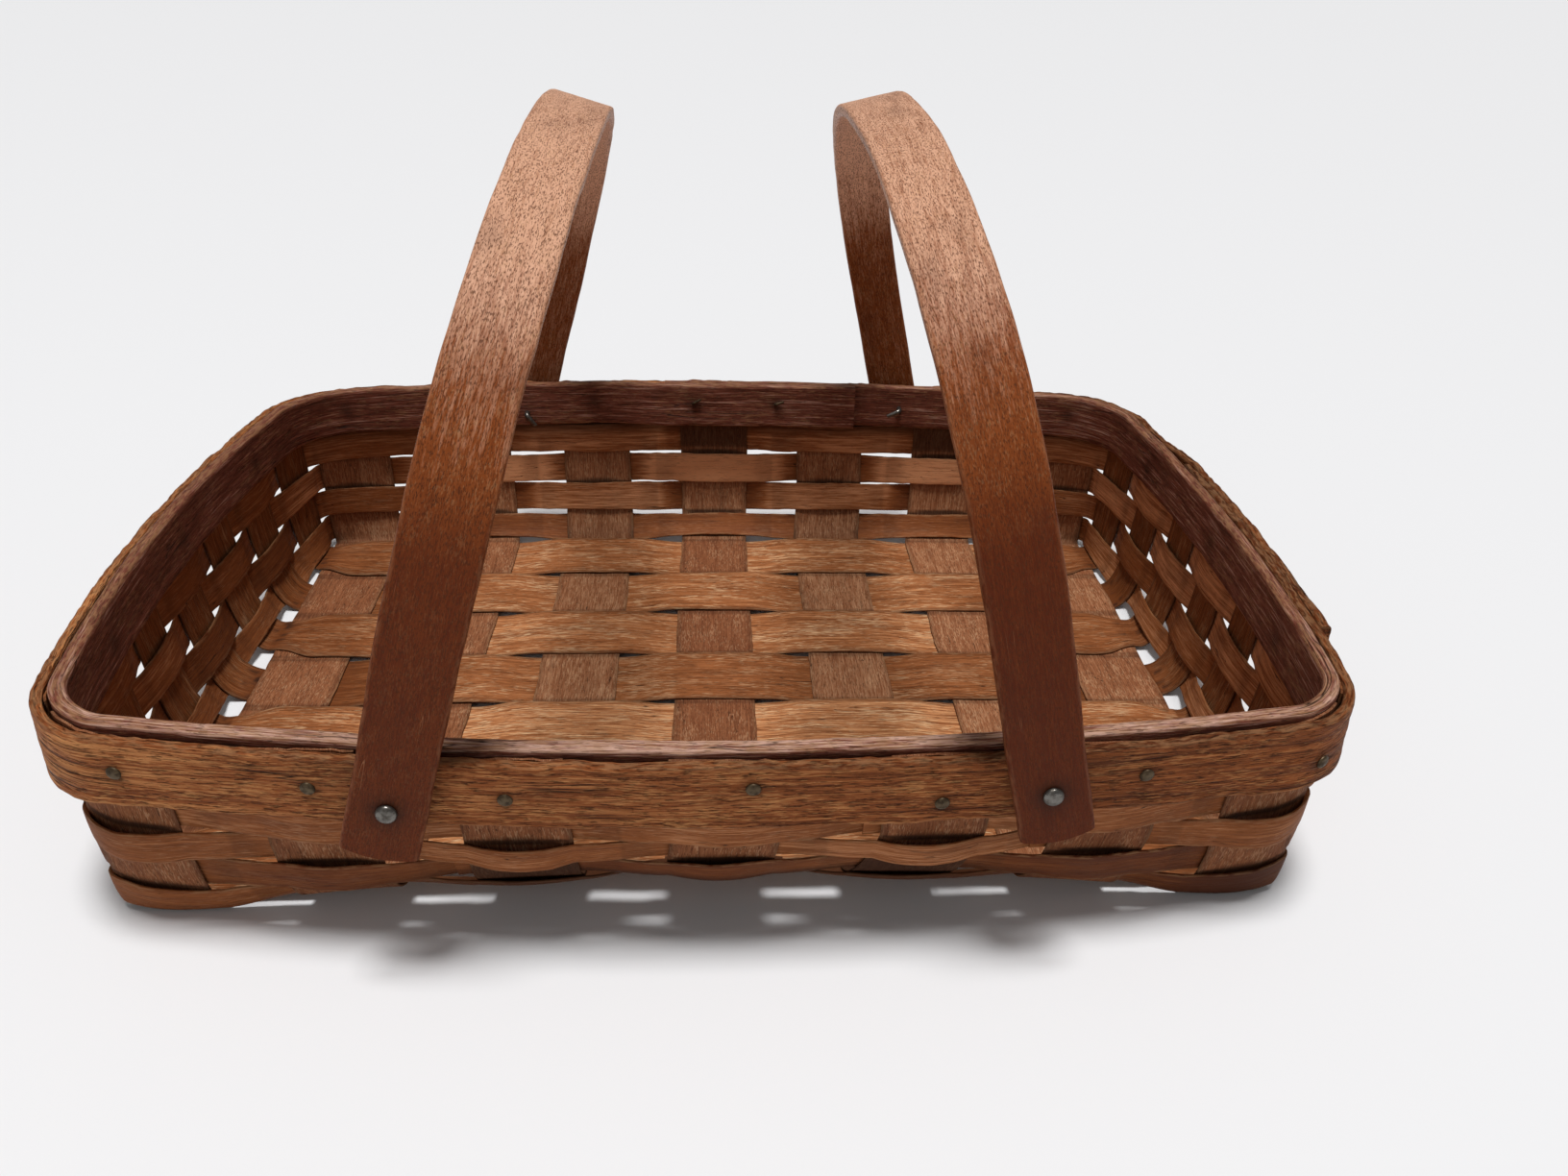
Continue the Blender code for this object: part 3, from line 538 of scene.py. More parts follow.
# Wood whose attributes a piece carries: grain is the place in the wood, tone how light it is and,
# at some places, painted light, edge the distance to the piece's edge, and the last how dark a place is from
# real dirt and stains and from painted shade
def makeWood(name, look):
    made, tree, shader = newMaterial(name)
    shader.location = (1500, 200)
    grain = addNode(tree, "ShaderNodeAttribute", -900, 200, attribute_name="grain").outputs["Vector"]
    tone = addNode(tree, "ShaderNodeAttribute", -900, 0, attribute_name="tone").outputs["Fac"]
    edge = addNode(tree, "ShaderNodeAttribute", -900, -200, attribute_name="edge").outputs["Fac"]
    dirtAndShade = addNode(tree, "ShaderNodeAttribute", -900, -400, attribute_name="dirtAndShade").outputs["Fac"]
    inputs = {
        "Grain": grain,
        "Fineness": look["fineness"],
        "Shortness": look["shortness"],
        "Waviness": look["waviness"],
        "Pore Limit": look["poreLimit"],
        "Crack Width": look["crackWidth"],
    }
    wood = addNode(tree, "ShaderNodeGroup", -600, 200, inputs, node_tree=woodGrain).outputs
    inputs = {"Grain": grain, "Edge": edge, "Reach": look["wearReach"]}
    wear = addNode(tree, "ShaderNodeGroup", -600, -200, inputs, node_tree=woodWear).outputs
    fibres = addMath(tree, "SUBTRACT", -400, 300, wood["Fibres"], 0.5)
    streaks = addMath(tree, "SUBTRACT", -400, 150, wood["Streaks"], 0.5)
    change = addMath(tree, "MULTIPLY", -200, 400, fibres, look["fibreContrast"])
    change = addMath(tree, "MULTIPLY_ADD", -100, 400, streaks, look["streakContrast"], change)
    liveliness = addMath(tree, "ADD", -200, 250, tone, look["liveliness"])
    level = addMath(tree, "MULTIPLY_ADD", 0, 300, change, liveliness, tone)
    ramp = addNode(tree, "ShaderNodeValToRGB", 200, 300, {"Fac": level})
    ramp.color_ramp.elements.new(0.5)
    for element, key in zip(ramp.color_ramp.elements, ("dark", "middle", "light")):
        element.color = (*look[key], 1)
    poreShare = addMath(tree, "MULTIPLY", 200, 0, wood["Pores"], look["poreStrength"])
    colour = addMix(tree, poreShare, ramp.outputs["Color"], look["poreColour"], 500, 300)
    fleckTone = addMath(tree, "MULTIPLY", 400, -100, tone, look["fleckRise"], clamp=True)
    fleckShare = addMath(tree, "MULTIPLY", 450, 0, wood["Flecks"], look["fleckStrength"])
    fleckShare = addMath(tree, "MULTIPLY", 600, 0, fleckShare, fleckTone)
    colour = addMix(tree, fleckShare, colour, look["fleckColour"], 700, 300)
    soilShare = addMath(tree, "MULTIPLY", 500, -150, wear["Soiled"], look["soilStrength"])
    colour = addMix(tree, soilShare, colour, look["soilColour"], 900, 300)
    rubShare = addMath(tree, "MULTIPLY", 700, -150, wear["Rubbed"], look["wearStrength"])
    strength = look["scratchStrength"]
    rubShare = addMath(tree, "MULTIPLY_ADD", 850, -150, wear["Scratches"], strength, rubShare, clamp=True)
    colour = addMix(tree, rubShare, colour, look["wearColour"], 1100, 300)
    # Real dirt, stains and painted shade darken the colour here, along with the cracks
    dark = addMath(tree, "MAXIMUM", 1100, 100, dirtAndShade, wood["Cracks"])
    rough = addRange(tree, wood["Streaks"], 900, 0, 0.3, 0.7, *look["roughness"])
    inputs = {
        "Base Color": addMix(tree, dark, colour, look["dirtAndShadeColour"], 1300, 300),
        "Roughness": addMath(
            tree, "MULTIPLY_ADD", 1100, 0, wood["Pores"], look["poreRoughness"], rough, clamp=True
        ),
        "Normal": addBump(tree, wood["Height"], look, 1100, -300),
        "Specular IOR Level": look["specular"],
    }
    feedAll(tree, shader, inputs)
    return made


baseLook = {
    "fineness": 1.0,
    "shortness": 1.0,
    "waviness": 0.0006,
    "poreLimit": 0.58,
    "crackWidth": 0.006,
    "poreStrength": 0.55,
    "poreColour": (0.050, 0.020, 0.010),
    "fleckStrength": 0.40,
    "fleckColour": (0.42, 0.23, 0.11),
    "soilStrength": 0.30,
    "soilColour": (0.085, 0.036, 0.020),
    "wearReach": 0.0012,
    "wearStrength": 0.45,
    "wearColour": (0.36, 0.19, 0.09),
    "scratchStrength": 0.10,
    "dirtAndShadeColour": (0.030, 0.013, 0.008),
    "fibreContrast": 1.7,
    "streakContrast": 0.6,
    "liveliness": 0.45,
    "fleckRise": 2.2,
    "poreRoughness": 0.15,
    "roughness": (0.48, 0.66),
    "bump": 0.5,
    "bumpDepth": 0.0006,
    "specular": 0.06,
}
woodLooks = {
    "long_splint_wood": {
        **baseLook,
        "dark": (0.140, 0.040, 0.011),
        "middle": (0.365, 0.130, 0.046),
        "light": (0.740, 0.355, 0.158),
        "fleckStrength": 0.65,
        "fleckColour": (0.82, 0.55, 0.31),
        "fibreContrast": 1.8,
        "streakContrast": 0.8,
        "shortness": 0.8,
    },
    "cross_splint_wood": {
        **baseLook,
        "dark": (0.115, 0.031, 0.012),
        "middle": (0.275, 0.104, 0.045),
        "light": (0.560, 0.300, 0.160),
        "roughness": (0.55, 0.72),
        "fleckStrength": 0.45,
        "fleckColour": (0.60, 0.36, 0.20),
        "fibreContrast": 1.3,
        "streakContrast": 0.5,
        "shortness": 1.6,
    },
    "weaver_wood": {
        **baseLook,
        "dark": (0.100, 0.026, 0.009),
        "middle": (0.270, 0.088, 0.028),
        # the light end is raised for the painted light inside the back wall
        "light": (0.720, 0.340, 0.165),
        "fibreContrast": 1.0,
        "poreStrength": 0.30,
        "fleckStrength": 0.20,
        "bump": 0.3,
        "fleckColour": (0.60, 0.34, 0.19),
        "streakContrast": 0.7,
    },
    "inner_band_wood": {
        **baseLook,
        "dark": (0.080, 0.022, 0.012),
        "middle": (0.185, 0.056, 0.034),
        # the light end is pinkish for the painted sheen on the front top edge
        "light": (0.560, 0.340, 0.260),
        "fibreContrast": 2.2,
        "roughness": (0.42, 0.58),
        "crackWidth": 0.014,
        "streakContrast": 1.2,
        "bump": 0.9,
    },
    "outer_band_wood": {
        **baseLook,
        "dark": (0.100, 0.026, 0.008),
        "middle": (0.290, 0.086, 0.026),
        "light": (0.560, 0.235, 0.085),
        "waviness": 0.0030,
        "crackWidth": 0.022,
        "fibreContrast": 2.1,
        "shortness": 0.95,
        "poreStrength": 0.8,
        "bump": 1.0,
        "bumpDepth": 0.0011,
        "streakContrast": 1.6,
        "fleckStrength": 0.5,
        "fleckColour": (0.70, 0.33, 0.12),
    },
    "handle_wood": {
        **baseLook,
        "dark": (0.100, 0.018, 0.005),
        "middle": (0.230, 0.058, 0.014),
        # the light end is brightened for the painted sheen on the handles' tops
        "light": (0.705, 0.388, 0.250),
        "fibreContrast": 0.8,
        "shortness": 2.5,
        "poreLimit": 0.53,
        "poreStrength": 0.75,
        "poreColour": (0.075, 0.022, 0.008),
        "crackWidth": 0.002,
        "fleckStrength": 0.22,
        "scratchStrength": 0.75,
        "roughness": (0.36, 0.50),
        "bump": 0.3,
        "specular": 0.07,
        "streakContrast": 0.4,
        "soilColour": (0.070, 0.018, 0.009),
        "wearColour": (0.36, 0.15, 0.07),
        "wearStrength": 0.30,
        "fineness": 1.2,
        "fleckColour": (0.55, 0.30, 0.14),
    },
}
baseMetal = {"bump": 0.25, "bumpDepth": 0.0002, "metallic": 0.9}
metalLooks = {
    "rim_nail_metal": {
        **baseMetal,
        "bare": (0.105, 0.074, 0.042),
        "tarnished": (0.052, 0.034, 0.020),
        "roughness": (0.48, 0.73),
    },
    "pivot_nail_metal": {
        **baseMetal,
        "bare": (0.17, 0.160, 0.145),
        "tarnished": (0.070, 0.060, 0.050),
        "roughness": (0.26, 0.51),
    },
}


def makeMetal(name, look):
    made, tree, shader = newMaterial(name)
    place = addNode(tree, "ShaderNodeTexCoord", -900, 0).outputs["Object"]
    spots = addNode(tree, "ShaderNodeGroup", -600, 0, {"Place": place}, node_tree=metalTarnish).outputs
    inputs = {
        "Base Color": addMix(tree, spots["Tarnish"], look["bare"], look["tarnished"], -300, 200),
        "Roughness": addRange(tree, spots["Tarnish"], -300, 0, 0.0, 1.0, *look["roughness"]),
        "Normal": addBump(tree, spots["Height"], look, -300, -200),
        "Metallic": look["metallic"],
    }
    feedAll(tree, shader, inputs)
    return made


materials = {name: makeWood(name, look) for name, look in woodLooks.items()}
materials.update({name: makeMetal(name, look) for name, look in metalLooks.items()})
print("materials are made")

# Strips: every splint, weaver, band and handle is a grid wrapped round its own section

roundingSteps = (0.0, 0.12, 0.45, 1.0)  # places over a rounded edge, as shares of its rounding
reliefWidth = 0.0016
warpShare = 0.7  # the warp's waves across a strip, as a share of its width
thickStep = 0.03
weldReach = 0.0000005
smoothAngle = 50


# Places across a strip from edge to edge, and how thick it is at each, as shares
def acrossStrip(strip):
    width, thickness, rounding = [strip[key] for key in ("width", "thickness", "rounding")]
    near = rounding * np.array(roundingSteps)
    edge = 1 - near / (width / 2)
    full = 1 - (rounding - np.sqrt(rounding**2 - (rounding - near) ** 2)) / (thickness / 2)
    inner = np.linspace(-edge[-1], edge[-1], strip["columns"])
    shares = np.concatenate([-edge[:-1], inner, edge[:-1][::-1]])
    return shares, np.concatenate([full[:-1], np.ones(len(inner)), full[:-1][::-1]])


# The places across a strip, from -1 to 1, as one row of a grid
def shareRow(strip):
    return acrossStrip(strip)[0][None, :]


def surfaceNormals(middle):
    normals = np.cross(np.gradient(middle, axis=0), np.gradient(middle, axis=1))
    return normals / np.linalg.norm(normals, axis=2, keepdims=True)


def distanceAlong(middle):
    line = middle[:, middle.shape[1] // 2]
    steps = np.linalg.norm(np.diff(line, axis=0), axis=1)
    return np.concatenate([[0], np.cumsum(steps)])


# Rounds the bends along a strip
def soften(middle, reach):
    smooth = middle.copy()
    for _ in range(reach):
        smooth[1:-1] = (smooth[:-2] + 2 * smooth[1:-1] + smooth[2:]) / 4
    return smooth


# How far an edge strays from its line, with finer waves on the coarse ones
def edgeStray(along, seed, step):
    return wander(along, seed, step) + 0.5 * wander(along, seed + 1, step / 4)


# Values across a strip's face, carried round its section
def wrapValues(values, sideCount):
    right = [values[:, -1:]] * sideCount
    left = [values[:, :1]] * sideCount
    return np.concatenate([values, *right, values[:, ::-1], *left, values[:, :1]], axis=1)


# Rows of points from one face of a strip to the other
def bridgeFaces(near, far, between):
    return [near * (1 + share) / 2 + far * (1 - share) / 2 for share in between]


# A grid on the points of ring: row by row along the strip, and round its section in each row
def makeGrid(name, ring):
    rows, count = ring.shape[:2]
    bpy.ops.mesh.primitive_grid_add(x_subdivisions=count - 1, y_subdivisions=rows - 1, size=1, calc_uvs=False)
    made = bpy.context.object
    made.name = name
    mesh = made.data
    flat = np.zeros(len(mesh.vertices) * 3)
    mesh.vertices.foreach_get("co", flat)
    flat = flat.reshape(-1, 3)
    order = np.lexsort((np.round(flat[:, 0], 5), np.round(flat[:, 1], 5)))
    flat[order] = ring.reshape(-1, 3)
    mesh.vertices.foreach_set("co", flat.ravel())
    return made, order


def addAttribute(mesh, name, kind, values, order):
    made = mesh.attributes.new(name, kind, "POINT")
    placed = np.zeros(values.shape)
    placed[order] = values
    made.data.foreach_set("vector" if kind == "FLOAT_VECTOR" else "value", placed.ravel())


# Welds the long sides of the new grid together and fills its two ends
def closeGrid():
    bpy.ops.object.mode_set(mode="EDIT")
    bpy.ops.mesh.select_all(action="SELECT")
    bpy.ops.mesh.remove_doubles(threshold=weldReach)
    bpy.ops.mesh.select_all(action="DESELECT")
    bpy.ops.mesh.select_non_manifold()
    bpy.ops.mesh.fill_holes(sides=0)
    bpy.ops.mesh.select_all(action="SELECT")
    bpy.ops.mesh.normals_make_consistent(inside=False)
    bpy.ops.object.mode_set(mode="OBJECT")
    bpy.ops.object.shade_smooth_by_angle(angle=math.radians(smoothAngle))


# middle holds the points of the strip's middle surface, row by row along it. The seeds after
# the strip's own one are for its left edge, right edge, warp, upper relief, thickness and lower relief
def makeStrip(name, middle, strip, seed, tone, dirtAndShade, lift=0.0):
    thickness = strip["thickness"]
    shares, full = acrossStrip(strip)
    along = distanceAlong(middle)[:, None] + np.zeros((len(middle), len(shares)))
    across = np.broadcast_to(shares * strip["width"] / 2, along.shape)
    sideways = np.gradient(middle, axis=1)
    sideways /= np.linalg.norm(sideways, axis=2, keepdims=True)
    leftEdge = edgeStray(along, seed + 1, strip["edgeStep"])
    rightEdge = edgeStray(along, seed + 3, strip["edgeStep"])
    stray = np.where(shares < 0, leftEdge, rightEdge) * np.abs(shares) ** 4 * strip["edgeWander"]
    middle = middle + sideways * stray[..., None]
    normals = surfaceNormals(middle)
    warp = ruffle(along, across, seed + 5, strip["warpStep"], strip["width"] * warpShare) * strip["warp"]
    middle = middle + normals * (warp + lift)[..., None]
    half = thickness / 2 * full * (1 + 0.5 * wander(along, seed + 7, thickStep) * strip["thickChange"])
    reliefs = []
    for reliefSeed in (seed + 6, seed + 8):
        relief = ruffle(along, across, reliefSeed, strip["reliefStep"], reliefWidth) * strip["relief"]
        reliefs.append(relief * full)
    upper = middle + normals * (half + reliefs[0])[..., None]
    lower = middle - normals * (half + reliefs[1])[..., None]
    between = np.linspace(1, -1, strip["edgeSteps"] + 2)[1:-1]
    rightSide = bridgeFaces(upper[:, -1], lower[:, -1], between)
    leftSide = bridgeFaces(lower[:, 0], upper[:, 0], between)
    ring = [*upper.transpose(1, 0, 2), *rightSide, *lower.transpose(1, 0, 2)[::-1], *leftSide, upper[:, 0]]
    ring = np.stack(ring, axis=1)
    ring[:, :, 2] = np.maximum(ring[:, :, 2], 0.0)
    depths = [full, between * full[0], -full[::-1], -between * full[0], full[:1]]
    places = wrapValues(shares[None, :], len(between))
    offset = np.random.default_rng(seed).uniform(0, 3, 3)
    grain = np.zeros(ring.shape)
    grain[:, :, 0] = along[:, :1] + offset[0]
    grain[:, :, 1] = places * strip["width"] / 2 + offset[1]
    grain[:, :, 2] = np.concatenate(depths) * thickness / 2 + offset[2]
    edge = np.broadcast_to((1 - np.abs(places)) * strip["width"] / 2, ring.shape[:2])
    made, order = makeGrid(name, ring)
    addAttribute(made.data, "grain", "FLOAT_VECTOR", grain.reshape(-1, 3), order)
    for label, values in (("tone", tone), ("dirtAndShade", dirtAndShade)):
        around = wrapValues(np.broadcast_to(values, along.shape), len(between))
        addAttribute(made.data, label, "FLOAT", around.reshape(-1), order)
    addAttribute(made.data, "edge", "FLOAT", edge.reshape(-1), order)
    closeGrid()
    return made


# Each slot's material has the slot's name
def finishPiece(made, body, slot, *nodes):
    made.data.materials.clear()
    made.data.materials.append(materials[slot])
    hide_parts(*nodes)
    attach(made, body)
    bpy.ops.object.select_all(action="DESELECT")


# How close a place is to the nearest of some lines, fading from 1 on a line to 0
def nearLines(values, lines, reach):
    found = np.zeros(np.broadcast(values).shape)
    for line in lines:
        found = np.maximum(found, np.exp(-((values - line) / reach) ** 2))
    return found


# Splints. A tone is how light the wood is, with painted light at some places, and dirt and shade are
# shares of a dark colour that stands for real dirt and for painted shade. A fade has the place where it
# starts and its length; across a strip both are shares of half its width

thinStrips = {
    "thickness": splintThickness,
    "rounding": 0.0004,
    "edgeSteps": 0,
    "edgeWander": 0.0004,
    "warpStep": 0.030,
    "reliefStep": 0.012,
    "thickChange": 0.15,
}
splints = {
    **thinStrips,
    "columns": 13,
    "edgeStep": 0.022,
    "warp": 0.00025,
    "relief": 0.00004,
    "rowStep": 0.0014,
    "topDrop": 0.0030,
    "ragged": 0.0012,
    "raggedReach": 0.006,
    "raggedStep": 0.004,
}
crossSplints = {
    **splints,
    "width": splintWidth,
    "wallTone": 0.36,
    "baseTone": 0.115,
    "columnTonesAndLight": (-0.12, -0.05, 0.08, -0.20, 0.17, 0.0, 0.0),
    "backWallLight": 0.16,
    "backFade": (0.0, 0.1),
    "rightFrontTone": -0.09,
    "toneWander": 0.05,
    "toneStep": 0.04,
    "rowDirtAndShade": 0.45,
    "rowReach": 0.0013,
    "baseEdgeDirtAndShade": 0.30,
    "baseEdge": (0.94, 0.05),
    "wallEdgeDirtAndShade": 0.45,
    "wallEdge": (0.90, 0.08),
    "bendDark": 0.35,
    "bendRise": 0.001,
    "bendReach": 0.005,
    "gapShade": 0.85,
    "gapReaches": (0.0006, 0.0017),
    "gapRise": 0.0004,
    "farGapShade": 0.3,
    "bandShade": 0.75,
    "bandReach": 0.004,
    "underShade": 0.88,
    "underHeight": 0.034,
    "underReach": 0.008,
    "seed": 100,
}
longSplints = {
    **splints,
    "width": 0.0397,
    "narrowFrom": 0.1977,
    "narrowTo": 0.2150,
    "wallTone": 0.15,
    "baseTone": 0.39,
    "rowTones": (0.0, 0.0, 0.10, -0.26, -0.06, -0.13, -0.10),
    "bendTone": -0.14,
    "bendReach": 0.006,
    "endShadeTone": -0.32,
    "endFade": (0.11, 0.09),
    "toneWander": 0.07,
    "toneStep": 0.05,
    "tornDark": 0.85,
    "tornSteps": (0.005, 0.0012),
    "tornFade": (0.35, 0.3),
    "edgeDirtAndShade": 0.45,
    "edge": (0.95, 0.04),
    "seed": 300,
}


# The share of a leaning upright's shift that it has reached at a height up the wall
def leanShare(height):
    low, high = basket["shiftHeights"]
    return np.clip((height - low) / (high - low), 0, 1)


# One wall's part of a splint, from the base edge up to its ragged top
def uprightRows(station, width, shares, strip, sign, seed, offset=0.0, shift=0.0):
    top = wallLength(station) - strip["topDrop"]
    heights = np.linspace(0, top, int(top / strip["rowStep"]))[:, None]
    nearTop = softStep((heights - top + strip["raggedReach"]) / strip["raggedReach"])
    ragged = 1 + wander(shares * width, seed, strip["raggedStep"]) * strip["ragged"] / top * nearTop
    tall = heights * np.minimum(ragged, 1.0) + 0 * shares
    middle = station + shift * leanShare(tall)
    half = halfStation(middle, tall, width)
    along = middle + sign * shares * half
    leave = offset * np.clip(1 - tall / weaving["start"], 0, 1)
    return onWall(along, tall, leave), tall


# How much of a place along the front looks down at the floor, since the base is lifted there
def underShare(x):
    lifted = baseLift(x, -baseHalfWidth) / basket["frontEdgeLift"]
    return fade(lifted, *basket["underFade"])


# Painted shade in the gaps over the top edges of the weavers that pass on one side of an upright: 1 outside,
# 0 inside
def weaverGapShadows(station, tall, shares, first, side):
    low, high = crossSplints["gapReaches"]
    dark = np.zeros(tall.shape)
    for row in range(weaving["count"]):
        near = 1.0 if (row % 2 == 0) == (first == side) else crossSplints["farGapShade"]
        reach = low + high * near * (1 - shares**2)
        away = np.abs(tall - weaverSpan(row, station)[1] - crossSplints["gapRise"])
        dark = np.maximum(dark, near * softStep(1.6 - 1.4 * away / reach))
    return dark


# A splint's middle surface from wall to wall over the base, and which of its rows lie on the base
def joinRows(firstWall, floor, lastWall):
    middle = soften(np.concatenate([firstWall[::-1], floor, lastWall]), 3)
    onBase = [np.zeros(len(firstWall)), np.ones(len(floor)), np.zeros(len(lastWall))]
    return middle, np.concatenate(onBase)[:, None]


def makeCrossSplint(number):
    strip = crossSplints
    label = number + crossReach + 1
    shares = shareRow(strip)
    frontStation = crossStation(number, "front")
    backStation = crossStation(number, "back")
    shift = basket["uprightShifts"][label - 1] / baseQuarter
    front, frontHeight = uprightRows(frontStation % 4, splintWidth, shares, strip, 1, label, shift=shift)
    back, backHeight = uprightRows(backStation % 4, splintWidth, shares, strip, -1, label + 20)
    reach = longReach * longSpacing + splintWidth / 2
    y = np.linspace(-reach, reach, int(2 * reach / strip["rowStep"]))[:, None] + 0 * shares
    x = number * crossSpacing + shares * splintWidth / 2 + 0 * y
    floor = np.stack([x, y, baseLevel + baseLift(x, y)], axis=2)
    middle, onBase = joinRows(front, floor, back)
    onWalls = 1 - onBase
    acrossBasket = middle[:, :, 1]
    rows = range(-longReach, longReach + 1)
    rowEdges = [row * longSpacing + side * splintWidth / 2 for row in rows for side in (-1, 1)]
    # Dark lines along the edges of the long splints that lie over it: painted shade, with some dirt
    dirtAndShade = strip["rowDirtAndShade"] * nearLines(acrossBasket, rowEdges, strip["rowReach"])
    # Dark lines along its own edges on the base: painted shade between the parts, with some dirt
    dirtAndShade = (dirtAndShade + strip["baseEdgeDirtAndShade"] * fade(np.abs(shares), *strip["baseEdge"])) * onBase
    bend = nearLines(middle[:, :, 2], [baseLevel + strip["bendRise"]], strip["bendReach"])
    # Darker along the bend at the foot of each wall
    dirtAndShade = dirtAndShade + strip["bendDark"] * bend * onWalls
    # Its edges up the walls are darker too: painted shade, with some dirt
    dirtAndShade = dirtAndShade + strip["wallEdgeDirtAndShade"] * fade(np.abs(shares), *strip["wallEdge"]) * onWalls
    frontGaps = weaverGapShadows(frontStation, frontHeight, shares, number % 2, 1)
    backGaps = weaverGapShadows(backStation, backHeight, shares, number % 2, 0)
    dirtAndShade = np.maximum(dirtAndShade, strip["gapShade"] * np.concatenate([frontGaps[::-1], 0 * y, backGaps]))
    bandShadow = fade(backHeight, weaverSpan(topWeaver, backStation)[0], strip["bandReach"])
    under = strip["underShade"] * underShare(front[:, :, 0])
    under = under * softStep((strip["underHeight"] - frontHeight) / strip["underReach"])
    dirtAndShade = np.maximum(dirtAndShade, np.concatenate([under[::-1], 0 * y, strip["bandShade"] * bandShadow]))
    # Each column has its own tone, and the columns either side of the middle are also lighter: painted light
    # where the handles' shadows fall
    tone = strip["wallTone"] + (strip["baseTone"] + strip["columnTonesAndLight"][label - 1]) * onBase
    tone = tone + strip["toneWander"] * wander(acrossBasket, label + 90, strip["toneStep"])
    # The back wall is painted lighter: painted light
    tone = tone + strip["backWallLight"] * fade(acrossBasket, *strip["backFade"]) * onWalls
    tone = tone + strip["rightFrontTone"] * (number > 0) * onWalls * (acrossBasket < 0)
    made = makeStrip(f"cross_splint_wood_{label}", middle, strip, strip["seed"] + 10 * label, tone, dirtAndShade)
    finishPiece(made, "basket", "cross_splint_wood", f"cross_splint_{label}")


# How far a long splint is above or below the cross splints at a place along it
def weaveLift(x, number):
    column = np.abs(x) / crossSpacing
    first = np.floor(column)
    start = first * crossSpacing + splintWidth / 2
    share = softStep((np.abs(x) - start) / (crossSpacing - splintWidth))
    signFirst = np.where((number + first) % 2 == 0, 1.0, -1.0)
    return weaveOffset * signFirst * (1 - 2 * share)


def makeLongSplint(number):
    strip = longSplints
    label = number + longReach + 1
    shares = shareRow(strip)
    atEdge = weaveOffset if (number + crossReach) % 2 == 0 else -weaveOffset
    walls = {}
    for side, sign in (("left", -1), ("right", 1)):
        station = longStation(number, side) % 4
        walls[side], _ = uprightRows(station, endUprightWidth, shares, strip, sign, label + 40, -atEdge / 2)
    reach = crossReach * crossSpacing + splintWidth / 2
    x = np.linspace(-reach, reach, int(2 * reach / strip["rowStep"]))[:, None] + 0 * shares
    narrowing = fade(np.abs(x), strip["narrowFrom"], strip["narrowTo"] - strip["narrowFrom"])
    width = strip["width"] + (endUprightWidth - strip["width"]) * narrowing
    y = number * longSpacing + shares * width / 2
    lift = weaveLift(np.minimum(np.abs(x), crossReach * crossSpacing), number)
    floor = np.stack([x, y, baseLevel + baseLift(x, y) + lift], axis=2)
    middle, onBase = joinRows(walls["left"], floor, walls["right"])
    alongBasket = middle[:, :, 0]
    bend = nearLines(np.abs(alongBasket), [baseHalfLength], strip["bendReach"])
    nearEnds = fade(np.abs(alongBasket), *strip["endFade"])
    tone = strip["wallTone"] + (strip["baseTone"] + strip["rowTones"][label - 1]) * onBase
    # The base grows darker towards both ends: painted shade by the end walls
    tone = tone + strip["bendTone"] * bend + strip["endShadeTone"] * nearEnds * onBase
    tone = tone + strip["toneWander"] * wander(alongBasket, label + 60, strip["toneStep"])
    place = distanceAlong(middle)[:, None] + 0 * shares
    # Torn wood is darker by the bends
    torn = ruffle(place, shares * splintWidth / 2, label + 80, *strip["tornSteps"])
    torn = fade(torn, *strip["tornFade"])
    # Dark lines along its edges: painted shade between the rows, with some dirt
    edgeDirtAndShade = strip["edgeDirtAndShade"] * fade(np.abs(shares), *strip["edge"])
    dirtAndShade = np.maximum(strip["tornDark"] * torn * bend, edgeDirtAndShade)
    made = makeStrip(f"long_splint_wood_{label}", middle, strip, strip["seed"] + 10 * label, tone, dirtAndShade)
    finishPiece(made, "basket", "long_splint_wood", f"long_splint_{label}")


for number in range(-crossReach, crossReach + 1):
    makeCrossSplint(number)
for number in range(-longReach, longReach + 1):
    makeLongSplint(number)
print("splints are woven")

# Ring weavers

weavers = {
    **thinStrips,
    "width": 0.0154,
    "columns": 9,
    "edgeStep": 0.018,
    "warp": 0.00012,
    "relief": 0.00003,
    "rowStep": 0.0015,
    "lapMargin": 0.006,
    "lapColumns": (0, -1, 2, 1),
    "backInsets": ((0.0003, 0.00075), (0.00075, -0.00015), (-0.00015, 0.00035), (0.00035, 0.0)),
    "outerGrowth": ((0.0, 0.0), (0.0, 0.0012), (0.0012, 0.0), (0.0, 0.0)),
    "bows": (0.0010, 0.0023, 0.0031, 0.0021),
    "innerBow": 0.0010,
    "crown": 0.0002,
    "endRise": 0.0050,
    "tone": 0.46,
    "tones": (-0.12, -0.25, 0.01, 0.03),
    "backLightTones": (-0.14, 0.22, 0.62, 0.20),
    "rightEndLight": 0.24,
    "cornerTone": -0.09,
    "cornerSpot": (0.50, 0.18),
    "edgeTone": -0.12,
    "toneWander": 0.10,
    "toneStep": 0.125,
    "soiledTone": -0.33,
    "soiledDirt": 0.45,
    "soiledSpot": (0.57, 0.10),
    "passDark": 0.2,
    "underShades": (0.75, 0.70),
    "bandShade": 0.7,
    "seed": 500,
}


# A soft spot on the way round: its middle and its reach are stations
def roundSpot(station, spot):
    return np.exp(-(((station % 4 - spot[0]) / spot[1]) ** 2))


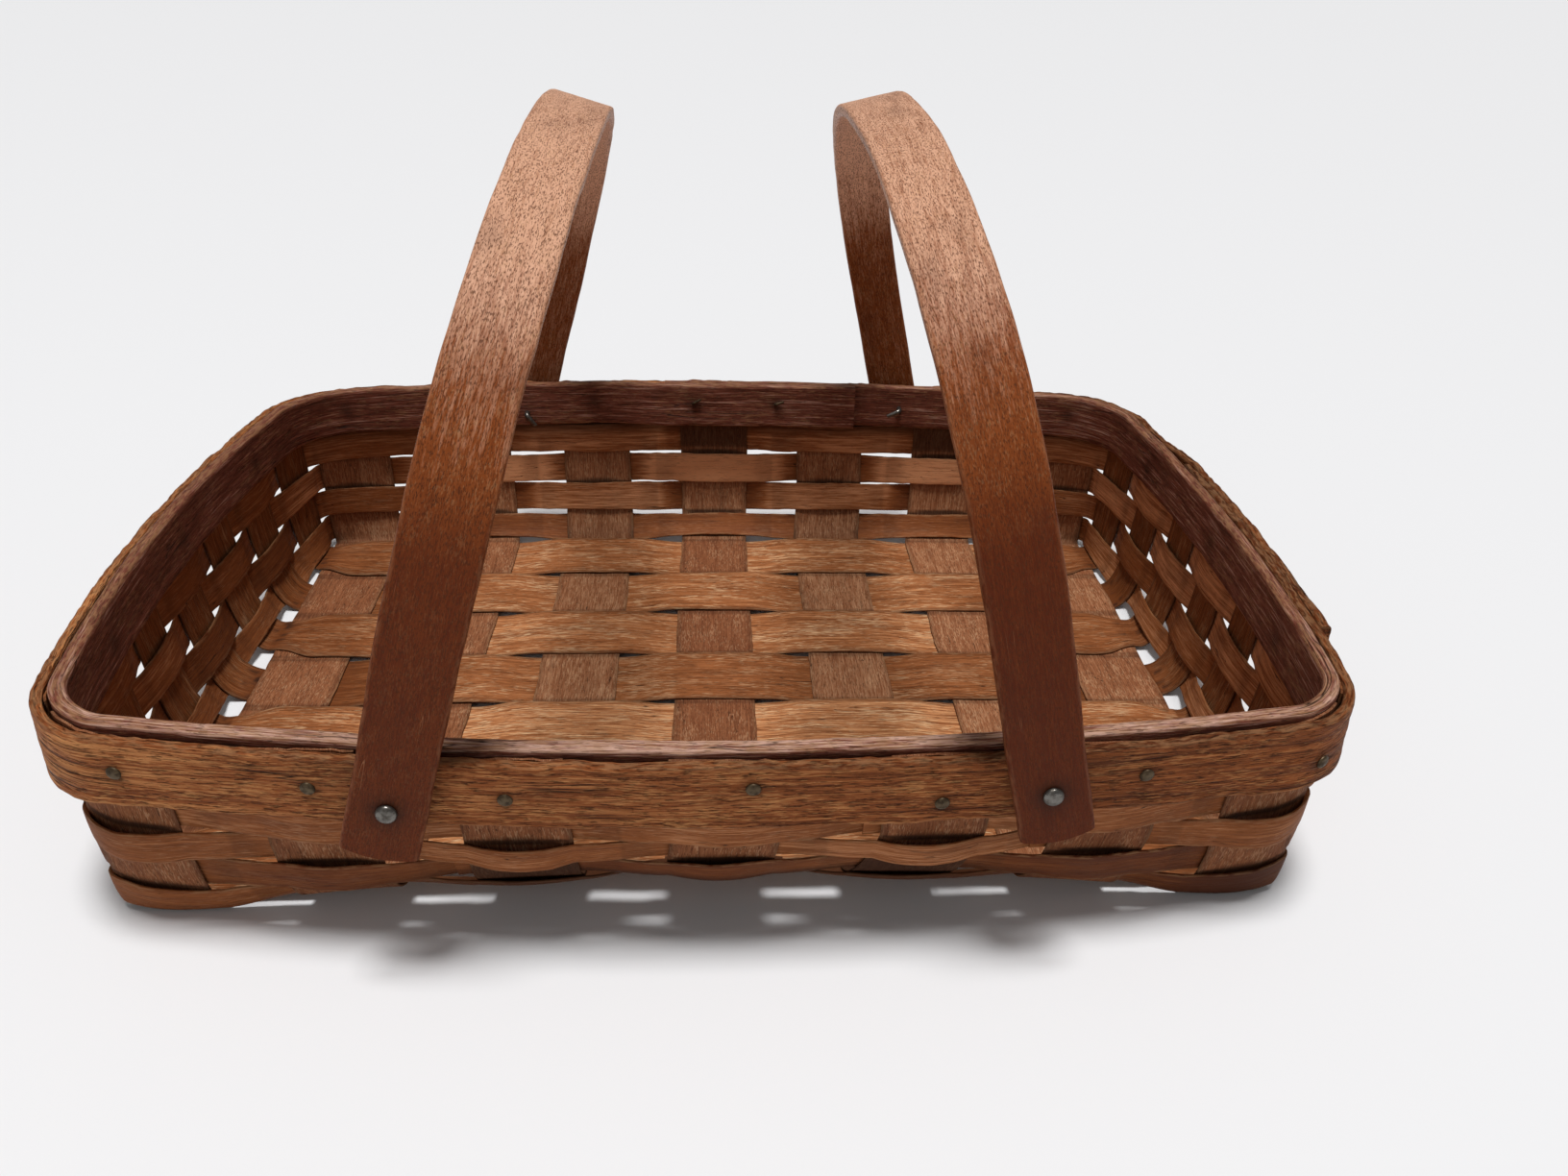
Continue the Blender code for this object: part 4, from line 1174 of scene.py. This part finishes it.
# Where a weaver meets and leaves each upright, as stations with its offsets there. It passes the
# first upright once more at its end, on top of its own start
def weaverPasses(number):
    strip = weavers
    lapStation = crossStation(strip["lapColumns"][number], "front") % 4
    first = min(range(len(uprights)), key=lambda index: abs(uprights[index][0] - lapStation))
    extra = strip["lapMargin"] / splintWidth * 2
    stations, offsets = [], []
    for turn in range(len(uprights) + 1):
        index = (first + turn) % len(uprights)
        station, width, insideFirst, shift = uprights[index]
        station += 4 * ((first + turn) // len(uprights))
        inside = insideFirst == (number % 2 == 0)
        offset = -weaveOffset if inside else weaveOffset
        if turn == len(uprights):
            offset -= weaveOffset
        middle = sum(weaverSpan(number, station)) / 2
        station += shift * float(leanShare(middle))
        half = float(halfStation(np.array(station), np.array(middle), width))
        stations.append(station - half * (1 + extra * (turn == 0)))
        stations.append(station + half * (1 + extra * (turn == len(uprights))))
        offsets += [offset, offset]
    return np.array(stations), np.array(offsets)


def makeWeaver(number):
    strip = weavers
    seed = strip["seed"] + 10 * number
    shares = shareRow(strip)
    stations, offsets = weaverPasses(number)
    rows = int((stations[-1] - stations[0]) * baseQuarter / strip["rowStep"])
    station = np.linspace(stations[0], stations[-1], rows)
    cell = np.clip(np.searchsorted(stations, station) - 1, 0, len(stations) - 2)
    share = (station - stations[cell]) / (stations[cell + 1] - stations[cell])
    eased = softStep(share)
    offset = offsets[cell] * (1 - eased) + offsets[cell + 1] * eased
    onUpright = offsets[cell] == offsets[cell + 1]
    between = np.where(onUpright, 0.0, np.minimum(1.8 * np.sin(share * np.pi) ** 2, 1.0))
    start, end = weaverSpan(number, station)
    onEnd = softStep(2.2 - np.abs((station % 2) - 1) * 8)  # 1 along the ends of the basket
    start = start + strip["endRise"] * onEnd * (number == 0)
    atBack = sideShare(station, 2)
    backInset, growth = strip["backInsets"][number], strip["outerGrowth"][number]
    crossing = np.where(between == 0, np.sin(share * np.pi), 0.0)
    grown = np.minimum(1.6 * crossing, 1) * (offset > 0) * sideShare(station, 0)
    start = start + backInset[0] * atBack - growth[0] * grown
    end = end - backInset[1] * atBack + growth[1] * grown
    height = (start + end)[:, None] / 2 + shares * (end - start)[:, None] / 2
    middle = onWall(station[:, None] + 0 * height, height, offset[:, None])
    # Darker where it turns in between two uprights
    dirtAndShade = strip["passDark"] * between[:, None] * (offset[:, None] < 0) + 0 * height
    if number < len(strip["underShades"]):
        under = underShare(middle[:, :, 0]) * (middle[:, :, 1] < 0)
        lower = softStep(-1.6 * shares) if number == 1 else 1.0
        dirtAndShade = np.maximum(dirtAndShade, strip["underShades"][number] * under * lower)
    if number == topWeaver:
        dirtAndShade = np.maximum(dirtAndShade, strip["bandShade"] * softStep(shares + 0.1) * atBack[:, None])
    seenInside = atBack * np.clip(1.2 - 1.2 * offset / weaveOffset, 0, 1)
    # Seen inside the back wall, a weaver is painted lighter: painted light, with each weaver's own colour
    tone = strip["tone"] + strip["tones"][number] * (1 - seenInside) + strip["backLightTones"][number] * seenInside
    # The right end is painted lighter: painted light
    tone = tone + strip["rightEndLight"] * np.clip(3 * sideShare(station, 1) - 2, 0, 1)
    tone = tone + strip["cornerTone"] * roundSpot(station, strip["cornerSpot"])
    if number == 0:
        soiled = roundSpot(station, strip["soiledSpot"])
        tone = tone + strip["soiledTone"] * soiled
        dirtAndShade = np.maximum(dirtAndShade, strip["soiledDirt"] * soiled[:, None])
    tone = tone + strip["toneWander"] * wander(station, seed + 9, strip["toneStep"])
    tone = tone[:, None] + strip["edgeTone"] * np.abs(shares) ** 6
    facing = np.sign(offset)[:, None]
    bow = crossing * np.where(offset > 0, strip["bows"][number], strip["innerBow"])
    crown = strip["crown"] * (1 - shares**2) * (1 - between)[:, None]
    lift = bow[:, None] * facing + crown * facing
    made = makeStrip(f"weaver_wood_{number + 1}", middle, strip, seed, tone, dirtAndShade, lift)
    finishPiece(made, "basket", "weaver_wood", f"weaver_{number + 1}")


for number in range(weaving["count"]):
    makeWeaver(number)
print("weavers are in")

# Rim bands and nails

innerBand = {
    "width": 0.0240,
    "thickness": 0.0058,
    "rounding": 0.0014,
    "columns": 13,
    "edgeSteps": 3,
    "edgeWander": 0.0003,
    "edgeStep": 0.025,
    "warp": 0.00020,
    "warpStep": 0.060,
    "relief": 0.00008,
    "reliefStep": 0.016,
    "thickChange": 0.08,
    "rowStep": 0.0013,
    "lapEndX": 0.078,
    "lapLength": 0.105,
    "tone": 0.38,
    "leftTone": -0.05,
    "topTone": 0.04,
    "frontTopSheen": 0.46,
    "topFade": (0.84, 0.10),
    "stain": 0.6,
    "stainReach": 0.0045,
    "seed": 700,
}
outerBand = {
    "width": 0.0270,
    "thickness": 0.0040,
    "rounding": 0.0011,
    "columns": 19,
    "edgeSteps": 2,
    "edgeWander": 0.0007,
    "edgeStep": 0.012,
    "warp": 0.00025,
    "warpStep": 0.050,
    "relief": 0.00018,
    "reliefStep": 0.014,
    "thickChange": 0.10,
    "rowStep": 0.0013,
    "drop": 0.0018,
    "flare": 0.0018,
    "lapEndY": -0.089,
    "lapLength": 0.150,
    "tone": 0.48,
    "toneWander": 0.08,
    "toneStep": 0.12,
    "sideTone": -0.19,
    "topTone": -0.22,
    "topFade": (0.86, 0.10),
    "stain": 0.7,
    "stainReach": 0.0035,
    "seed": 800,
}
bandRamp = 0.030  # where a lapped end comes off the band under it
innerShowingEnd = 2 - innerBand["lapEndX"] / baseQuarter
outerShowingEnd = 1 + outerBand["lapEndY"] / baseQuarter

rimNails = {
    "headRadius": 0.0026,
    "headHeight": 0.0010,
    "shankRadius": 0.0008,
    "drop": 0.0140,
    "sides": 20,
    "tipLength": 0.0040,
    "showingTips": {"back_nail_4": 2.6, "back_nail_5": 2.8},
    "frontShifts": (0.007, 0.004, 0.0, 0.012, 0.0075, 0.010, 0.009),
    "frontLifts": (-0.0005, -0.0005, -0.002, 0.003, -0.006, 0.0, -0.0045),
    "backShifts": (0.0, 0.005, 0.0, -0.0115, -0.032, 0.004, 0.0),
    "backLift": 0.0035,
    "hiddenBy": 0.003,
}


# How far a band stands off where it lies on its own other end
def lapLift(place, band):
    lap = band["lapLength"] / baseQuarter
    clear = (band["lapLength"] + bandRamp) / baseQuarter
    return (band["thickness"] + basket["splintGap"]) * np.clip((clear - place) / (clear - lap), 0, 1)


# Each rim nail's node, station and lift. The nails of the ends hold every other upright
def rimNailPlaces():
    found = []
    for order, number in enumerate(range(-crossReach, crossReach + 1)):
        front = crossStation(number, "front") + rimNails["frontShifts"][order] / baseQuarter
        found.append((f"front_nail_{order + 1}", front % 4, rimNails["frontLifts"][order]))
        back = crossStation(number, "back") - rimNails["backShifts"][order] / baseQuarter
        found.append((f"back_nail_{order + 1}", back % 4, rimNails["backLift"]))
    for order, number in enumerate(range(-longReach, longReach + 1)[1::2]):
        found.append((f"right_nail_{order + 1}", longStation(number, "right") % 4, 0.0))
        found.append((f"left_nail_{order + 1}", longStation(number, "left") % 4, 0.0))
    return found


# Dark stains round the nails, over a band's grid of stations and heights
def nailStain(station, height, reach):
    stain = np.zeros(np.broadcast(station, height).shape)
    for _, place, lift in rimNailPlaces():
        away = (station - place + 2) % 4 - 2
        aside = (away * baseQuarter / reach) ** 2
        level = wallLength(place) - rimNails["drop"] + lift
        stain = np.maximum(stain, np.exp(-aside - ((height - level) / reach) ** 2))
    return stain


# A band's shares, its grid of stations and heights round the wall, and its lift over its own end
def bandRows(strip, showingEnd, drop):
    shares = shareRow(strip)
    reach = 4 + strip["lapLength"] / baseQuarter
    place = np.linspace(0, reach, int(reach * baseQuarter / strip["rowStep"]))
    station = (showingEnd + place)[:, None] + 0 * shares
    height = wallLength(station) - drop - strip["width"] / 2 + shares * strip["width"] / 2
    return shares, station, height, lapLift(place, strip)[:, None]


def makeInnerBand():
    strip = innerBand
    shares, station, height, lapped = bandRows(strip, innerShowingEnd, 0.0)
    middle = onWall(station, height, -bandSeat - strip["thickness"] / 2 - lapped)
    dirtAndShade = strip["stain"] * nailStain(station, height, strip["stainReach"])
    tone = strip["tone"] + strip["leftTone"] * sideShare(station, 3)
    # The top edge is lighter, most along the front: a painted sheen
    topTone = strip["topTone"] + strip["frontTopSheen"] * sideShare(station, 0)
    tone = tone + topTone * fade(shares, *strip["topFade"])
    made = makeStrip("inner_rim_band_wood", middle, strip, strip["seed"], tone, dirtAndShade)
    finishPiece(made, "basket", "inner_band_wood", "inner_rim_band")


def makeOuterBand():
    strip = outerBand
    shares, station, height, lapped = bandRows(strip, outerShowingEnd, strip["drop"])
    flare = strip["flare"] * (1 - shares) / 2
    middle = onWall(station, height, bandSeat + strip["thickness"] / 2 + lapped + flare)
    dirtAndShade = strip["stain"] * nailStain(station, height, strip["stainReach"])
    tone = strip["tone"] + strip["toneWander"] * wander(station, 9, strip["toneStep"])
    tone = tone + strip["sideTone"] * np.sin(station * np.pi / 2)
    tone = tone + strip["topTone"] * fade(shares, *strip["topFade"])
    made = makeStrip("outer_rim_band_wood", middle, strip, strip["seed"], tone, dirtAndShade)
    finishPiece(made, "basket", "outer_band_wood", "outer_rim_band")


# What all nails share. The rim and the dome's rings are shares of the head's radius and height, and
# the elbow and the tip's drop are shares of the shank's radius
nailShape = {
    "rimHeight": 0.3,
    "domeInset": 0.04,
    "domeRings": ((0.95, 0.50), (0.82, 0.76), (0.60, 0.92), (0.30, 0.99)),
    "shankLength": 0.010,
    "elbow": 1.3,
    "bendSteps": 4,
    "bendAngle": 22,
    "tipDrop": 1.7,
    "tipScale": (1, 0.75, 0.45),
    "smoothAngle": 45,
}
shankLength = nailShape["shankLength"]


# A domed nail on z = 0. Its shank goes down, and its tip is bent over along X
def makeNailShape(nail):
    radius, height, shank = nail["headRadius"], nail["headHeight"], nail["shankRadius"]
    rim = height * nailShape["rimHeight"]
    inset = radius * nailShape["domeInset"]
    bpy.ops.mesh.primitive_cylinder_add(vertices=nail["sides"], radius=radius, depth=rim)
    made = bpy.context.object
    bpy.ops.object.mode_set(mode="EDIT")
    bpy.ops.mesh.select_all(action="SELECT")
    bpy.ops.transform.translate(value=(0, 0, rim / 2))
    selectFaces(made, lambda centre, normal: normal.z > 0.9)
    for share, level in nailShape["domeRings"]:
        bpy.ops.mesh.inset(thickness=inset)
        placeRing(made, share * radius, height * level)
    selectFaces(made, lambda centre, normal: normal.z < -0.9)
    bpy.ops.mesh.inset(thickness=inset)
    placeRing(made, shank, 0.0)
    bpy.ops.mesh.extrude_region_move(TRANSFORM_OT_translate={"value": (0, 0, -shankLength)})
    elbow = (shank * nailShape["elbow"], 0, -shankLength)
    for _ in range(nailShape["bendSteps"]):
        bpy.ops.mesh.extrude_region_move(TRANSFORM_OT_translate={"value": (0, 0, 0)})
        angle = math.radians(nailShape["bendAngle"])
        bpy.ops.transform.rotate(value=angle, orient_axis="Y", center_override=elbow)
    bpy.ops.mesh.extrude_region_move(TRANSFORM_OT_translate={"value": (nail["tipLength"], 0, 0)})
    tip = (elbow[0] + nail["tipLength"], 0, elbow[2] - shank * nailShape["tipDrop"])
    bpy.ops.transform.resize(value=nailShape["tipScale"], center_override=tip)
    bpy.ops.mesh.select_all(action="SELECT")
    bpy.ops.mesh.normals_make_consistent(inside=False)
    bpy.ops.object.mode_set(mode="OBJECT")
    bpy.ops.object.shade_smooth_by_angle(angle=math.radians(nailShape["smoothAngle"]))
    return made


def selectFaces(made, wanted):
    bpy.ops.mesh.select_all(action="DESELECT")
    bpy.ops.object.mode_set(mode="OBJECT")
    for face in made.data.polygons:
        face.select = bool(wanted(face.center, face.normal))
    bpy.ops.object.mode_set(mode="EDIT")


# Brings the selected ring of points to a radius and a level
def placeRing(made, radius, level):
    bpy.ops.object.mode_set(mode="OBJECT")
    for vertex in made.data.vertices:
        if vertex.select:
            now = math.hypot(vertex.co.x, vertex.co.y)
            vertex.co = (vertex.co.x * radius / now, vertex.co.y * radius / now, level)
    bpy.ops.object.mode_set(mode="EDIT")


# A copy of the nail with its own mesh: grip is the wood that it holds, and side turns its bent tip
def driveNail(shape, node, place, direction, grip, side, slot):
    made = shape.copy()
    made.data = shape.data.copy()
    made.name = f"{node}_metal"
    scene.collection.objects.link(made)
    for vertex in made.data.vertices:
        if vertex.co.z < -shankLength / 2:
            vertex.co.z += shankLength - grip
    turn = Vector(direction).to_track_quat("Z", "Y").to_matrix().to_4x4()
    made.data.transform(Matrix.Translation(Vector(place)) @ turn @ Matrix.Rotation(side, 4, "Z"))
    finishPiece(made, "basket", slot, node)


# The tips that don't show end inside the inner band, and turn any way
def driveRimNails():
    shape = makeNailShape(rimNails)
    sides = np.random.default_rng(4).uniform(0, 2 * math.pi, 40)
    for order, (node, station, lift) in enumerate(rimNailPlaces()):
        height = float(wallLength(station)) - rimNails["drop"] + lift
        fromTop = (wallLength(station) - outerBand["drop"] - height) / outerBand["width"]
        lapOuter = lapLift((station - outerShowingEnd) % 4, outerBand)
        lapInner = lapLift((station - innerShowingEnd) % 4, innerBand)
        seat = bandSeat + outerBand["thickness"] + outerBand["flare"] * fromTop + lapOuter
        back = bandSeat + innerBand["thickness"] + lapInner
        place = onWall(station, height, seat)
        direction = onWall(station, height, 1.0) - onWall(station, height, 0.0)
        grip = float(seat + back)
        if node not in rimNails["showingTips"]:
            grip -= rimNails["hiddenBy"]
        side = rimNails["showingTips"].get(node, sides[order])
        driveNail(shape, node, place, direction, grip, side, "rim_nail_metal")
    bpy.data.objects.remove(shape)


makeInnerBand()
makeOuterBand()
driveRimNails()
print("rim bands are on")

# Handles

handles = {
    "width": 0.0256,
    "thickness": 0.0050,
    "rounding": 0.0013,
    "columns": 25,
    "edgeSteps": 2,
    "edgeWander": 0.0003,
    "edgeStep": 0.040,
    "warp": 0.00015,
    "warpStep": 0.070,
    "relief": 0.00004,
    "reliefStep": 0.020,
    "thickChange": 0.04,
    "rowStep": 0.0013,
    "spanPower": 2.06,
    "risePower": 3.67,
    "foot": 0.0205,
    "footArc": 0.0025,
    "footTones": {"left": 0.11, "right": 0.05},
    "legSheenTone": 0.42,
    "legFade": (0.085, 0.045),
    "bowSheenTone": 0.46,
    "bowFade": (0.126, 0.050),
    "farLegLight": 0.44,
    "backFade": (0.0, 0.1),
    "pivotDirt": 0.95,
    "pivotReach": 0.0060,
    "left": {"place": (-0.1050, 0, 0.0755), "rise": 0.1935, "lean": 15.7, "skew": 0.0, "seed": 900},
    "right": {"place": (0.1080, 0, 0.0795), "rise": 0.1901, "lean": -13.4, "skew": 0.92, "seed": 950},
}
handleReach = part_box("left_handle")[1][1]


# A bow from foot to foot, made upright over its pivots and then leant. Below them its feet are round
def makeHandle(side):
    strip = handles
    shares = shareRow(strip)
    hung = strip[side]
    span = handleReach - strip["thickness"] / 2
    rise = hung["rise"] - strip["thickness"] / 2
    turn = np.linspace(0, math.pi / 2, 3000)
    y = span * np.cos(turn) ** (2 / strip["spanPower"])
    z = rise * np.sin(turn) ** (2 / strip["risePower"])
    line = np.vstack([np.column_stack([-y, z]), np.column_stack([y, z])[::-1][1:]])
    lengths = np.concatenate([[0], np.cumsum(np.linalg.norm(np.diff(line, axis=0), axis=1))])
    even = np.linspace(0, lengths[-1], int(lengths[-1] / strip["rowStep"]))
    y, z = [np.interp(even, lengths, line[:, axis])[:, None] for axis in (0, 1)]
    x = shares * strip["width"] / 2
    footRows = np.linspace(1, 0, int(strip["foot"] / strip["rowStep"]))[:-1, None]
    footZ = (-strip["foot"] + strip["footArc"] * shares**2) * footRows
    front, back = [np.stack([x + 0 * footZ, end + 0 * footZ, footZ], axis=2) for end in (y[0], y[-1])]
    bow = np.stack([x + 0 * y, y + 0 * x, z + 0 * x], axis=2)
    middle = np.concatenate([front, bow, back[::-1]])
    fromPivot = np.hypot(middle[:, :, 0], middle[:, :, 2])
    dirtAndShade = strip["pivotDirt"] * np.exp(-((fromPivot / strip["pivotReach"]) ** 2))
    up = middle[:, :, 2]
    # Lighter towards the top: lighter wood there, brightened more as a painted sheen
    tone = strip["footTones"][side] + strip["legSheenTone"] * fade(up, *strip["legFade"])
    tone = tone + strip["bowSheenTone"] * fade(up, *strip["bowFade"])
    # The far legs are painted lighter: painted light
    tone = tone + strip["farLegLight"] * fade(middle[:, :, 1], *strip["backFade"])
    turned = Matrix.Translation(hung["place"]) @ Matrix.Rotation(math.radians(hung["skew"]), 4, "Z")
    turned = np.array(turned @ Matrix.Rotation(math.radians(hung["lean"]), 4, "Y"))
    middle = middle @ turned[:3, :3].T + turned[:3, 3]
    made = makeStrip(f"{side}_handle_wood", middle, strip, hung["seed"], tone, dirtAndShade)
    finishPiece(made, f"{side}_handle", "handle_wood", f"{side}_handle")


for side in ("left", "right"):
    makeHandle(side)
print("handles are hung")

pivotNails = {
    "headRadius": 0.0035,
    "headHeight": 0.0019,
    "shankRadius": 0.0014,
    "sides": 28,
    "tipLength": 0.0060,
    "tipSides": {"left": -2.23, "right": -0.41},
    "tipRoom": 0.0014,
    "headRoom": 0.0004,
}


def drivePivotNails():
    shape = makeNailShape(pivotNails)
    for side in ("left", "right"):
        for end, outward in (("front", -1), ("back", 1)):
            node = f"{side}_pivot_{end}"
            low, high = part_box(node)
            grip = high[1] - low[1] - pivotNails["headHeight"] - pivotNails["tipRoom"]
            skew = math.radians(handles[side]["skew"])
            direction = Vector((-outward * math.sin(skew), outward * math.cos(skew), 0))
            place = Vector(handles[side]["place"]) + direction * (handleReach + pivotNails["headRoom"])
            turn = pivotNails["tipSides"][side]
            driveNail(shape, node, place, direction, grip, turn, "pivot_nail_metal")
    bpy.data.objects.remove(shape)


drivePivotNails()
print("handles are pinned")
